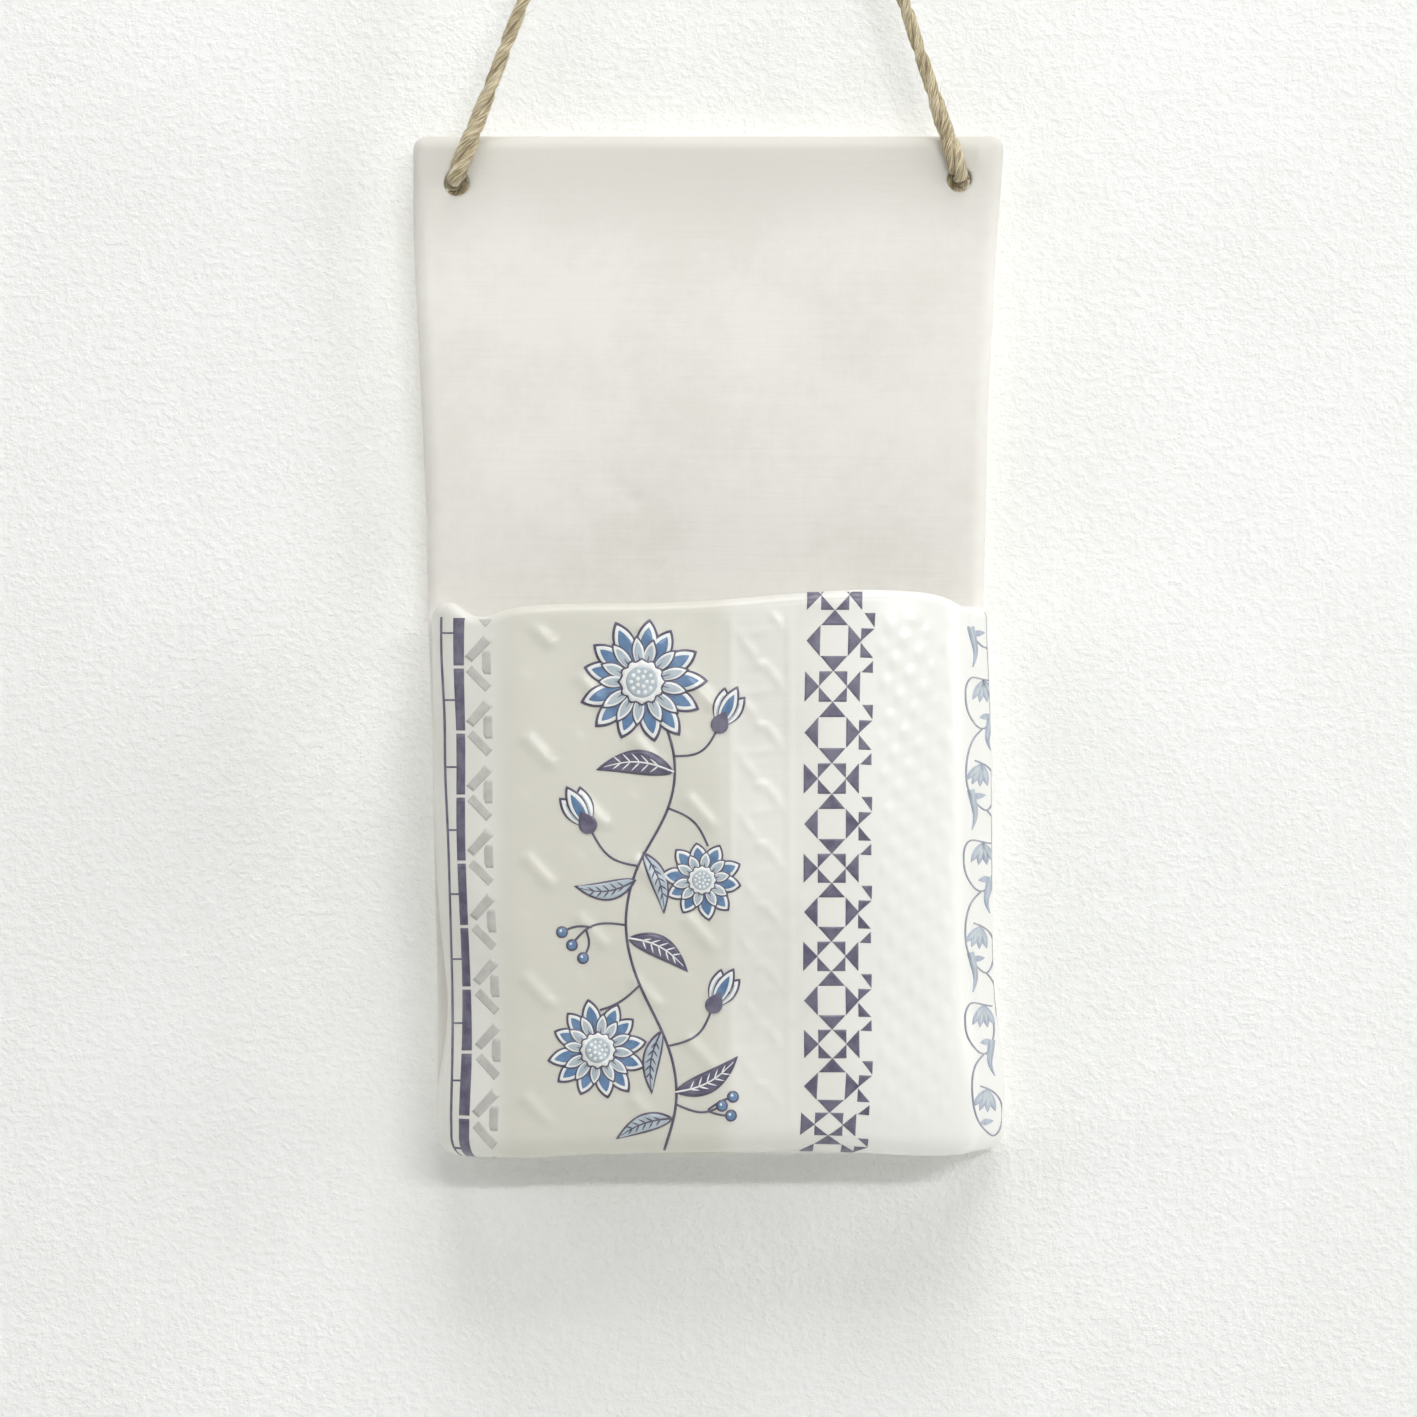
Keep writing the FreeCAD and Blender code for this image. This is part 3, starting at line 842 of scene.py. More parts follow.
@dataclass
class Twine:
    """Two-ply jute: sizes shared by the hanging length and by the knots behind the slab."""

    diameter: float = TWINE_DIAMETER
    pitch: float = 15.6
    ply_offset: float = 0.86
    ply_width: float = 1.5
    fibre_twist: float = 5.0
    grooves: int = 8
    groove_depth: float = 0.17
    step: float = 0.36
    around: int = 28

    def plies(self, stock: Stock, line: Grid, swell: Grid) -> None:
        """Wind two plies round a line.

        Each ply is a tube pressed flat against the other, so that the two together are nearly
        round. Its middle turns round the line once in a pitch, and its skin is grooved along
        fibres that turn the other way.

        Args:
            stock: gathers the twine's parts.
            line: points of the twine's centre line, in metres, evenly spaced.
            swell: how much wider than its plain width the twine is at each point.
        """
        first, second = carried_frames(line)
        steps = np.r_[0.0, np.cumsum(np.linalg.norm(np.diff(line, axis=0), axis=1))] / MM
        turn = FULL_TURN * steps / self.pitch
        radius = self.diameter / 4.0 * swell * MM
        angle = np.linspace(0.0, FULL_TURN, self.around, endpoint=False)[None, :]
        for ply in range(2):
            lay = turn + FULL_TURN / 2.0 * ply
            out = np.cos(lay)[:, None] * first + np.sin(lay)[:, None] * second
            side = -np.sin(lay)[:, None] * first + np.cos(lay)[:, None] * second
            middle = line + out * (radius * self.ply_offset)[:, None]
            fibre = angle - (steps / self.fibre_twist)[:, None]
            wander = 1.3 * np.sin(steps * 0.23 + ply)[:, None]
            crest = np.abs(np.sin(fibre * self.grooves / 2.0 + wander))
            uneven = 0.05 * np.sin(steps * 0.9 + 2.1 * ply) + 0.04 * np.sin(steps * 2.3 + ply)
            swept = radius[:, None] * (1.06 + uneven[:, None] - self.groove_depth * (1.0 - crest))
            points = (
                middle[:, None, :]
                + np.cos(angle)[..., None] * swept[..., None] * out[:, None, :]
                + np.sin(angle)[..., None] * swept[..., None] * self.ply_width * side[:, None, :]
            )
            coordinates = (steps[:, None], 1.3 * np.cos(fibre) + 5.0 * ply, 1.3 * np.sin(fibre))
            marks = np.stack(np.broadcast_arrays(*coordinates), axis=-1)
            self.close_tube(stock, points, marks)

    def close_tube(self, stock: Stock, points: Grid, marks: Grid) -> None:
        """Add a tube given ring by ring, with rounded ends that close in a point.

        Args:
            stock: gathers the tube.
            points: its points, one row to each ring.
            marks: their marks, in the same order.
        """
        shares = np.array([0.0, 0.6])[:, None, None]
        start, end = points[0].mean(0), points[-1].mean(0)
        first = start + (points[0] - start) * shares
        last = end + (points[-1] - end) * shares[::-1]
        whole = np.concatenate([first, points, last])
        faces = grid_faces(len(whole), whole.shape[1], ring_columns=True)[:, ::-1]
        stock.add(whole, faces, np.concatenate([marks[[0, 0]], marks, marks[[-1, -1]]]))

    def strays(self, stock: Stock, line: Grid, count: int, reach: float, seed: int) -> None:
        """Add loose fibres that leave the twine at a slant and curl back.

        Each fibre is a thin three-sided tube that is pointed at both ends. It starts in the
        twine, runs on along it, and rises off it by the square of the share of its way.

        Args:
            stock: gathers the twine's parts.
            line: points of the twine's centre line, in metres, evenly spaced.
            count: number of fibres.
            reach: how long the longest is, in millimetres.
            seed: start of the random numbers.
        """
        chance = np.random.default_rng(seed)
        first, second = carried_frames(line)
        along = np.gradient(line, axis=0)
        along /= np.linalg.norm(along, axis=1)[:, None]
        at = chance.integers(4, len(line) - 4, count)
        way = chance.choice([-1.0, 1.0], count)
        lay = chance.uniform(0.0, FULL_TURN, count)
        length = chance.uniform(0.35, 1.0, count) * reach * MM
        rise = chance.uniform(0.10, 0.55, count)
        curl = chance.uniform(-0.6, 0.6, count)
        rings, sides = 7, 3
        share = np.linspace(0.0, 1.0, rings)[None, :, None]
        out = np.cos(lay)[:, None] * first[at] + np.sin(lay)[:, None] * second[at]
        side = -np.sin(lay)[:, None] * first[at] + np.cos(lay)[:, None] * second[at]
        run = (along[at] * way[:, None])[:, None, :]
        base = (line[at] + out * self.diameter * 0.42 * MM)[:, None, :]
        middle = (
            base
            + run * share * length[:, None, None]
            + out[:, None, :] * (share**2) * (length * rise)[:, None, None]
            + side[:, None, :] * (share**2) * (length * curl)[:, None, None]
        )
        angle = np.linspace(0.0, FULL_TURN, sides, endpoint=False)
        between_ends = np.sign(share * (1.0 - share))
        thin = ((0.055 - 0.035 * share) * between_ends)[..., None] * MM
        ring = (
            np.cos(angle)[None, None, :, None] * out[:, None, None, :]
            + np.sin(angle)[None, None, :, None] * side[:, None, None, :]
        )
        tubes = middle[:, :, None, :] + ring * thin
        faces = grid_faces(rings, sides, ring_columns=True)
        every = faces + (np.arange(count) * rings * sides)[:, None, None]
        every[way > 0.0] = every[way > 0.0][:, :, ::-1]
        marks = np.broadcast_to((at * self.step)[:, None, None, None], tubes.shape)
        stock.add(tubes, every.reshape(-1, 4), marks)


@dataclass
class HangingTwine:
    """The twine from knot to knot: through both holes and over the screw between them."""

    twine: Twine = field(default_factory=Twine)
    length: float = 272.0
    stray_count: int = 150
    stray_reach: float = 4.5
    # Where the twine starts and ends its turn from its own body to the vase's, in metres
    bend_start: tuple[float, float, float] = (0.0, -0.0136, -0.1135)
    bend_end: tuple[float, float, float] = (0.0, -0.0136, -0.1160)
    # Control points of the route, in millimetres: the CAD tube's ends and the two points over
    # the screw, one more about six diameters from each hole and from the screw on the straight
    # runs, and two in each hole towards its knot.
    route: Table = (
        (-47.5, -5.6, -117.1), (-47.5, -9.5, -117.3), (-47.6, -14.0, -117.2),
        (-42.2, -13.64, -103.7), (-7.5, -13.64, -10.8), (-2.8, -13.64, 3.2), (2.9, -13.64, 3.2),
        (6.9, -13.64, -11.1), (36.3, -13.64, -102.8), (40.9, -14.0, -116.5),
        (40.9, -9.5, -116.6), (40.9, -5.6, -116.4),
    )

    def build(self, material: Material) -> Object:
        """Build the twine where it hangs.

        It swells towards the holes by up to 0.38 of its width, where its plies open.

        Args:
            material: the jute.

        Returns:
            The twine, without its stray fibres.
        """
        path = read_route(np.array(self.route) * MM, "twine_route")
        line, along = even_steps(path, self.twine.step * MM)
        stock = Stock()
        low = smooth_step((-0.098 - line[:, 2]) / 0.016)
        swell = 1.0 + 0.38 * low * smooth_step((-0.0105 - line[:, 1]) / 0.002)
        self.twine.plies(stock, line, swell)
        piece = stock.piece("twine", "fibre")
        loose = Stock()
        self.twine.strays(loose, line, self.stray_count, self.stray_reach, 11)
        strays = loose.piece("stray_fibres", "fibre")
        for part in (piece, strays):
            close_seams(part)
            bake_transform(part)
            dress(part, "twine", material)
        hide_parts("hanging_twine")
        log.info("twine: %.1f mm along its centre line", along[-1] / MM)
        return piece


@dataclass
class StopperKnot:
    """Overhand knot behind the slab with a short frayed tail."""

    side: Side
    twine: Twine = field(default_factory=Twine)
    radius: float = 2.25
    half_depth: float = 1.75
    tail: float = 7.5

    def line(self) -> Grid:
        """Return the knot's centre line, in metres.

        The loops are two and a bit turns of the curve whose plan is sin a + 2 sin 2a by
        cos a - 2 cos 2a and whose depth is -sin 3a, from the hole to the tail.
        """
        hole_x, hole_height = HOLES[self.side]
        height = hole_height + HOLE_RISE
        angle = np.linspace(0.35, FULL_TURN - 0.45, 90)
        across = (np.sin(angle) + 2.0 * np.sin(2.0 * angle)) / 3.0 * self.radius
        up = (np.cos(angle) - 2.0 * np.cos(2.0 * angle)) / 3.0 * self.radius
        deep = -np.sin(3.0 * angle) * self.half_depth
        slab_back = SLAB_FRONT + SLAB_THICKNESS
        middle = slab_back + KNOT_DEPTH / 2.0
        knot = np.stack([hole_x + across * self.side.value, middle + deep, height + up], axis=1)
        depths = np.array([slab_back - 1.6, slab_back + 0.2])
        lead = np.stack([np.full(2, hole_x), depths, np.full(2, height)], axis=1)
        share = np.linspace(0.25, 1.0, 5)[:, None]
        fall = np.array([0.42 * self.side.value, -0.05, -0.9]) * self.tail
        tail = knot[-1] + fall * share
        rough = np.concatenate([lead, knot[::9], tail])
        route = read_route(to_world(rough), "knot_route")
        return even_steps(route, self.twine.step * MM)[0]

    def build(self, material: Material) -> Object:
        """Build the knot and let it ride on the vase.

        Args:
            material: the jute.

        Returns:
            The knot with its tail and stray fibres.
        """
        name = "left" if self.side is Side.LEFT else "right"
        line = self.line()
        stock = Stock()
        fray = np.linspace(0.0, 1.0, len(line))
        self.twine.plies(stock, line, 0.94 + 0.16 * smooth_step((fray - 0.85) / 0.15))
        self.twine.strays(stock, line, 36, 3.0, 23 + self.side.value)
        piece = stock.piece(f"{name}_stopper_knot", "fibre")
        close_seams(piece)
        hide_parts(f"{name}_knot")
        place_piece(piece, "twine", material)
        return piece


# The vase


@dataclass
class BackSlab:
    """Rolled slab of bare clay with soft edges, hollow sides and two punched holes."""

    edge: float = 2.4
    steps_across: int = 138
    steps_up: int = 236
    edge_steps: int = 6
    hole_ring: int = 4
    blend_rings: int = 6
    lip: float = 0.55
    ring_spacing: float = 0.74
    # Where the pocket is joined on, the side edges lose this share of their rounding
    joined_height: float = 97.0
    joined_share: float = 0.86
    # Middle across and up, width and depth of each dent
    dents: Table = ((-19.0, -53.5, 3.2, 0.22), (-16.0, -56.5, 1.2, 0.18), (20.0, -33.0, 5.0, 0.10))
    # Height and the two outlines, from the foot up
    outline: Table = (
        (-171.4, -51.3, 48.4), (-145.0, -51.1, 47.3), (-120.0, -51.6, 46.5),
        (-91.6, -52.1, 45.9), (-72.3, -52.8, 45.5), (-60.0, -53.0, 45.8), (-38.9, -53.9, 46.3),
        (-24.8, -54.5, 47.0), (-11.6, -55.1, 47.6), (-0.1, -55.2, 48.5), (7.6, -55.2, 48.9),
    )

    def edge_places(self, steps: int) -> tuple[Grid, Grid]:
        """Place the grid's lines across or up.

        Args:
            steps: number of steps on the flat.

        Returns:
            Each line's place on the flat, from -1 to 1, and how far it goes round the edge.
        """
        bend = np.sin(np.linspace(0.0, QUARTER_TURN, self.edge_steps + 1))[1:]
        flat = np.linspace(-1.0, 1.0, steps + 1)
        places = np.r_[np.full(self.edge_steps, -1.0), flat, np.full(self.edge_steps, 1.0)]
        beyond = np.r_[-bend[::-1], np.zeros(steps + 1), bend]
        return places, beyond

    def uneven(self, across: Grid, height: Grid) -> Grid:
        """Return how far the front stands out, from waves left by rolling and a few dents.

        Long waves are products of sines. A dent is a bell-shaped hollow, and the ridge beside
        the right hole is a bell across and a smooth step along.

        Args:
            across: x of each point.
            height: height of each point.

        Returns:
            The amount at each point, in millimetres.
        """
        waves = 0.16 * np.sin(across / 17.0 + 0.7) * np.sin(height / 23.0)
        waves += 0.08 * np.sin(across / 7.3 + height / 11.0)
        for x, z, wide, deep in self.dents:
            waves -= deep * np.exp(-((across - x) ** 2 + (height - z) ** 2) / (2.0 * wide**2))
        crest = np.exp(-((across - 44.6 + 0.06 * height) ** 2) / 0.35)
        return waves + 0.28 * crest * smooth_step((height - 1.0) / 2.5)

    def build(self, material: Material) -> Object:
        """Build front, back, sides and holes as one closed piece.

        A point is placed by its grid line across and up. Past the flat, the two amounts round
        the corner are cut back to the larger, which rounds the outline, and the depth there is
        a quarter circle. Round a hole the grid's square rings turn into circles.

        Args:
            material: the bare clay.

        Returns:
            The slab.
        """
        across_place, across_edge = self.edge_places(self.steps_across)
        up_place, up_edge = self.edge_places(self.steps_up)
        place_x, place_z = np.meshgrid(across_place, up_place)
        edge_x, edge_z = np.meshgrid(across_edge, up_edge)
        most = np.maximum(np.abs(edge_x), np.abs(edge_z))
        length = np.hypot(edge_x, edge_z)
        cut = np.where(length > 0.0, most / np.maximum(length, 1e-9), 1.0)
        tall = (SLAB_TOP - SLAB_FOOT) / 2.0
        height = (SLAB_TOP + SLAB_FOOT) / 2.0 + place_z * (tall - self.edge)
        height = height + edge_z * cut * self.edge
        left, right = np.moveaxis(SmoothCurve(self.outline).at(height), -1, 0)
        half = (right - left) / 2.0
        across = (left + right) / 2.0 + place_x * (half - self.edge) + edge_x * cut * self.edge
        holes = []
        for side in Side:
            across, height, ring = self.punch(across, height, HOLES[side])
            holes.append(ring)
        rounded = self.edge * (1.0 - np.sqrt(np.maximum(0.0, 1.0 - most**2)))
        joined = smooth_step((SLAB_FOOT + self.joined_height - height) / 4.0)
        kept = np.where(np.abs(edge_x) > 0.0, 1.0 - self.joined_share * joined, 1.0)
        front = SLAB_FRONT + rounded * kept
        front -= self.uneven(across, height) * (1.0 - most) * (1.0 - joined)
        back = SLAB_FRONT + SLAB_THICKNESS - rounded
        rows, columns = across.shape
        closed_cells = np.ones((rows - 1, columns - 1), bool)
        for row, column in holes:
            reach = self.hole_ring
            closed_cells[row - reach : row + reach, column - reach : column + reach] = False
        faces = grid_faces(rows, columns)[closed_cells.ravel()]
        points = np.stack([leaned(across, front, height), leaned(across, back, height)])
        stock = Stock()
        stock.add(points, shell_faces(faces, rows, columns))
        for side, place in zip(Side, holes):
            self.add_bore(stock, points, place, HOLES[side])
        piece = stock.piece("slab")
        close_seams(piece)
        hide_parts("back_slab")
        place_piece(piece, "bare_clay", material)
        return piece

    def punch(
        self, across: Grid, height: Grid, hole: tuple[float, float]
    ) -> tuple[Grid, Grid, tuple[int, int]]:
        """Turn the grid's square rings round a hole into circles.

        Args:
            across: x of the grid's points.
            height: height of the grid's points.
            hole: the hole's centre.

        Returns:
            The two grids, and the row and column of the point in the hole's middle.
        """
        far = (across - hole[0]) ** 2 + (height - hole[1]) ** 2
        row, column = np.unravel_index(np.argmin(far), far.shape)
        down = np.arange(across.shape[0])[:, None] - row
        over = np.arange(across.shape[1])[None, :] - column
        ring = np.maximum(np.abs(down), np.abs(over))
        angle = np.arctan2(down, over)
        beyond = ring - self.hole_ring
        radius = HOLE_DIAMETER / 2.0 + self.lip + beyond * self.ring_spacing
        share = smooth_step(beyond / self.blend_rings)
        round_x = hole[0] + radius * np.cos(angle)
        round_z = hole[1] + radius * np.sin(angle)
        across = round_x + (across - round_x) * share
        return across, round_z + (height - round_z) * share, (int(row), int(column))

    def add_bore(
        self, stock: Stock, points: Grid, place: tuple[int, int], hole: tuple[float, float]
    ) -> None:
        """Add the hole's inside: a rounded lip at the front, the bore and a lip at the back.

        Args:
            stock: gathers the slab's parts.
            points: the front's and the back's grid of points, in metres.
            place: row and column of the point in the hole's middle.
            hole: the hole's centre, in millimetres.
        """
        low_row, low_column = (index - self.hole_ring for index in place)
        high_row, high_column = (index + self.hole_ring for index in place)
        ends = np.concatenate(
            [
                points[:, low_row, low_column:high_column],
                points[:, low_row:high_row, high_column],
                points[:, high_row, high_column:low_column:-1],
                points[:, high_row:low_row:-1, low_column],
            ],
            axis=1,
        )
        front, back = ends
        middle = leaned(hole[0], SLAB_FRONT, hole[1])
        angle = np.arctan2(back[:, 2] - middle[2], back[:, 0] - middle[0])
        turned = np.linspace(0.0, QUARTER_TURN, 5)[1:]
        radii = HOLE_DIAMETER / 2.0 + self.lip * (1.0 - np.sin(turned))
        radii = np.r_[radii, radii[::-1]][:, None]
        inwards = self.lip * (1.0 - np.cos(turned))
        depths = np.r_[SLAB_FRONT + inwards, SLAB_FRONT + SLAB_THICKNESS - inwards[::-1]][:, None]
        bore = leaned(hole[0] + radii * np.cos(angle), depths, hole[1] + radii * np.sin(angle))
        bore = np.concatenate([front[None], bore, back[None]])
        stock.add(bore, grid_faces(len(bore), bore.shape[1], ring_columns=True)[:, ::-1])


def sheet_place(point: Grid) -> tuple[Grid, Grid]:
    """Return where points of the vase's own frame show on the drawing sheet.

    Args:
        point: x, depth and height, with their own axis last, in millimetres.

    Returns:
        Units from the sheet's left and from its top.
    """
    world = to_world(point) / MM
    unit = SHEET_UNIT * (world[..., 1] - EYE[1]) / EYE_DISTANCE
    right = SHEET_MIDDLE + (world[..., 0] - EYE[0]) / unit
    return right, SHEET_MIDDLE - (world[..., 2] - EYE[2]) / unit


def ridge(off: Grid, width: float) -> Grid:
    """Return a bell across a ridge from how far off its middle line a point is."""
    return np.exp(-((off / width) ** 2))


def window(value: Grid, low: float, high: float, soft: float) -> Grid:
    """Return 1 between two limits and 0 outside them, with smooth sides as wide as given."""
    return smooth_step((value - low) / soft) * smooth_step((high - value) / soft)


@dataclass(frozen=True)
class PressedPattern:
    """The pattern pressed into the pocket's clay, in drawing units, with heights in millimetres."""

    bar_height: float = 0.33
    bar_slant: float = 1.12
    bar_period: float = 120.4
    bar_width: float = 6.6
    bar_half_length: float = 26.0
    rising_share: float = 0.40
    # Places across of the columns of bars, and the first bar's place down in each
    falling: Table = ((538.0, 630.0), (592.0, 691.0), (646.0, 632.0), (700.0, 692.0))
    rising: Table = ((512.0, 690.0), (566.0, 750.0), (620.0, 690.0), (674.0, 750.0))
    lace_height: float = 0.17
    lace_ribs: tuple[float, float] = (730.5, 789.5)
    lace_top: float = 661.0
    lace_period: float = 60.0
    # Place across and down in a cell, and strength, of the two slanting leaves
    leaves: Table = ((774.0, 15.0, 1.0), (748.0, 46.0, 0.9))
    knit_height: float = 0.11
    wave_height: float = 0.16

    def bars(self, right: Grid, down: Grid, slant: float, columns: Table) -> Grid:
        """Return slanting bars that repeat down the sheet.

        A bar is a bell across its middle line, cut off smoothly along it.

        Args:
            right: units from the sheet's left.
            down: units from its top.
            slant: how far a bar's middle line goes down for each unit to the right.
            columns: each column's place across, and its first bar's place down.

        Returns:
            The bars' height from 0 to 1.
        """
        total = np.zeros_like(right)
        size = math.hypot(1.0, slant)
        half = self.bar_period / 2.0
        for column, offset in columns:
            across = right - column
            beside = (down - offset + half) % self.bar_period - half
            along = (across + slant * beside) / size
            off = (beside - slant * across) / size
            end = smooth_step((self.bar_half_length - np.abs(along)) / 9.0)
            total += ridge(off, self.bar_width) * end
        return total

    def lace(self, right: Grid, down: Grid) -> Grid:
        """Return the lace band: two upright ribs, and in each cell a rib, two leaves and a dot.

        Args:
            right: units from the sheet's left.
            down: units from its top.

        Returns:
            The lace's height, about 1 at its leaves.
        """
        left_rib, right_rib = self.lace_ribs
        ribs = ridge(right - left_rib, 3.0) + ridge(right - right_rib, 3.0)
        cell = (down - self.lace_top) % self.lace_period
        rib_strength = 0.75 + 0.25 * np.sin(right / 6.0)
        inside = 0.45 * ridge(cell - 30.0 - 2.0 * np.sin(right / 9.0), 4.5) * rib_strength
        for across, level, strength in self.leaves:
            beside = right - across
            inside += strength * ridge((cell - level) - 1.15 * beside, 6.0) * ridge(beside, 9.0)
        inside += ridge(np.hypot(right - 760.0, cell - 4.0), 5.0)
        return 0.8 * ribs + window(right, left_rib + 2.5, right_rib - 2.5, 3.0) * inside

    def height(self, right: Grid, down: Grid) -> Grid:
        """Return the whole pattern's height at places on the sheet.

        Left: a lattice of raised bars. Middle: lace. Right: rows of knitted bumps, each a product
        of two slanting cosines. All of it lies on long waves left by the hands.

        Args:
            right: units from the sheet's left.
            down: units from its top.

        Returns:
            The height in millimetres.
        """
        falling = self.bars(right, down, self.bar_slant, self.falling)
        rising = self.bars(right, down, -self.bar_slant, self.rising)
        left = smooth_step((right - 498.0) / 14.0) * smooth_step((728.0 - right) / 16.0)
        lattice = left * (falling + self.rising_share * rising) * self.bar_height
        knitted = smooth_step((right - 876.0) / 8.0) * smooth_step((958.0 - right) / 12.0)
        one = np.cos(FULL_TURN * (right / 21.0 + down / 46.0))
        two = np.cos(FULL_TURN * (right / 34.0 - down / 31.0))
        knit = knitted * (0.5 + 0.5 * one) * (0.5 + 0.5 * two) * 1.6 * self.knit_height
        waves = np.sin(right / 41.0 + 1.0) * np.sin(down / 63.0)
        waves += 0.6 * np.sin(right / 23.0 - down / 47.0)
        lace = self.lace(right, down) * self.lace_height
        return lattice + lace + knit + self.wave_height * waves


@dataclass
class Pocket:
    """The pocket's free-form wall, given by its plan, its levels and its wavy rim."""

    left: float = 48.2
    right: float = 49.9
    depth: float = 26.0
    height: float = 95.4
    front_rise: float = 2.6
    thickness: float = 3.8
    foot: float = 3.6
    sag_reach: float = 16.0
    end_sunk: float = 0.8
    floor_top: float = 5.0
    seam_size: float = 2.6
    rows: int = 180
    columns: int = 300
    # x by that side's half width and y by the depth, round the plan from the left
    plan: Table = (
        (-1.000, 0.000), (-1.004, 0.280), (-0.990, 0.600), (-0.935, 0.825), (-0.820, 0.925),
        (-0.560, 0.975), (-0.250, 0.992), (0.050, 1.000), (0.350, 0.985), (0.600, 0.955),
        (0.770, 0.905), (0.855, 0.840), (0.893, 0.730), (0.925, 0.470), (0.965, 0.210),
        (1.000, 0.000),
    )
    # Height, left and right half widths and depth, each by the pocket's own
    levels: Table = (
        (0.00, 0.994, 1.044, 0.926), (0.05, 0.988, 1.047, 0.961), (0.12, 0.978, 1.048, 0.982),
        (0.25, 0.948, 1.020, 0.990), (0.38, 0.968, 1.008, 1.000), (0.60, 0.991, 1.006, 0.990),
        (0.85, 0.998, 0.996, 0.945), (1.08, 1.004, 0.980, 0.890),
    )
    # x by that side's half width, and the rim's height by the pocket's
    rim: Table = (
        (-1.00, 1.000), (-0.95, 1.001), (-0.91, 0.992), (-0.87, 0.979), (-0.83, 0.973),
        (-0.79, 0.975), (-0.73, 0.985), (-0.66, 0.991), (-0.30, 0.996), (0.00, 1.001),
        (0.30, 1.014), (0.55, 1.021), (0.70, 1.019), (0.80, 1.013), (0.85, 1.006), (0.89, 1.001),
        (0.93, 1.003), (1.00, 1.010),
    )
    # x by that side's half width, and how far the foot sags or lifts there, in millimetres
    sag: Table = (
        (-1.00, 0.20), (-0.86, 0.90), (-0.74, 1.15), (-0.62, 1.05), (-0.49, 0.55), (-0.35, 0.20),
        (-0.10, 0.00), (0.07, -0.15), (0.48, -0.15), (0.62, 0.35), (0.75, 0.75), (0.90, 0.60),
        (1.00, 0.20),
    )
    plan_curve: SmoothCurve = field(init=False)
    level_curve: SmoothCurve = field(init=False)
    rim_curve: SmoothCurve = field(init=False)
    sag_curve: SmoothCurve = field(init=False)

    def __post_init__(self) -> None:
        """Set up the curves through the four tables.

        The plan's curve keeps x left and right of the middle apart, so that each has its width.
        """
        plan = np.array(self.plan)
        steps = np.linalg.norm(np.diff(plan, axis=0), axis=1)
        places = np.r_[0.0, np.cumsum(steps)] / steps.sum()
        left, right = np.minimum(plan[:, 0], 0.0), np.maximum(plan[:, 0], 0.0)
        self.plan_curve = SmoothCurve(np.stack([places, left, right, plan[:, 1]], axis=1))
        self.level_curve = SmoothCurve(self.levels)
        self.rim_curve = SmoothCurve(self.rim)
        self.sag_curve = SmoothCurve(self.sag)

    def level_point(self, place: Grid, height: Grid) -> tuple[Grid, Grid]:
        """Find points of the plan at some heights.

        Args:
            place: how far round the plan, from 0 at the left to 1 at the right.
            height: height above the foot.

        Returns:
            x from the pocket's middle, and the depth off the slab.
        """
        left, right, deep = np.moveaxis(self.plan_curve.at(place), -1, 0)
        shares = np.moveaxis(self.level_curve.at(height / self.height), -1, 0)
        across = left * self.left * shares[0] + right * self.right * shares[1]
        return across, deep * self.depth * shares[2]

    def inwards(self, place: Grid, height: Grid) -> tuple[Grid, Grid]:
        """Find the direction square to the plan, towards the inside.

        Near the plan's two ends it turns to lie along the slab.

        Args:
            place: how far round the plan.
            height: height above the foot.

        Returns:
            The direction's x and depth.
        """
        small = 0.002
        x_before, y_before = self.level_point(np.clip(place - small, 0.0, 1.0), height)
        x_after, y_after = self.level_point(np.clip(place + small, 0.0, 1.0), height)
        along_x = x_after - x_before
        along_y = y_after - y_before
        size = np.hypot(along_x, along_y)
        share = smooth_step(np.minimum(place, 1.0 - place) / 0.03)
        in_x = share * along_y / size + (1.0 - share) * np.where(place < 0.5, 1.0, -1.0)
        in_y = share * -along_x / size
        size = np.hypot(in_x, in_y)
        return in_x / size, in_y / size

    def surface(self, place: Grid, height: Grid, inset: Grid | float = 0.0) -> Grid:
        """Return points of the wall in the vase's own frame.

        A point is on the plan at its height, moved in square to the plan by its inset, and
        raised by its depth's share of the front's rise. In the lowest 16 mm it also follows the
        foot's sag, less and less upwards.

        Args:
            place: how far round the plan, from 0 at the left to 1 at the right.
            height: height above the foot, before the rise.
            inset: how far in from the outside.

        Returns:
            x, depth and height, with their own axis last, in millimetres.
        """
        place, height, inset = np.broadcast_arrays(place, height, inset)
        across, deep = self.level_point(place, height)
        in_x, in_y = self.inwards(place, height)
        across = across + in_x * inset
        deep = deep + in_y * inset
        sag = self.sag_curve.at(self.side_share(across))[..., 0] * deep / self.depth
        sag = sag * (1.0 - smooth_step(height / self.sag_reach))
        rise = deep / self.depth * self.front_rise - sag
        places = [SLAB_CENTRE + across, SLAB_FRONT - deep, SLAB_FOOT + height + rise]
        return np.stack(places, axis=-1)

    def rim_height(self, place: Grid) -> Grid:
        """Return the rim's height above the foot at places round the plan."""
        across, _ = self.level_point(place, np.full(np.shape(place), self.height))
        return self.height * self.rim_curve.at(self.side_share(across))[..., 0]

    def side_share(self, across: Grid) -> Grid:
        """Return x as a share of the half width on its own side."""
        return across / np.where(across < 0.0, self.left, self.right)

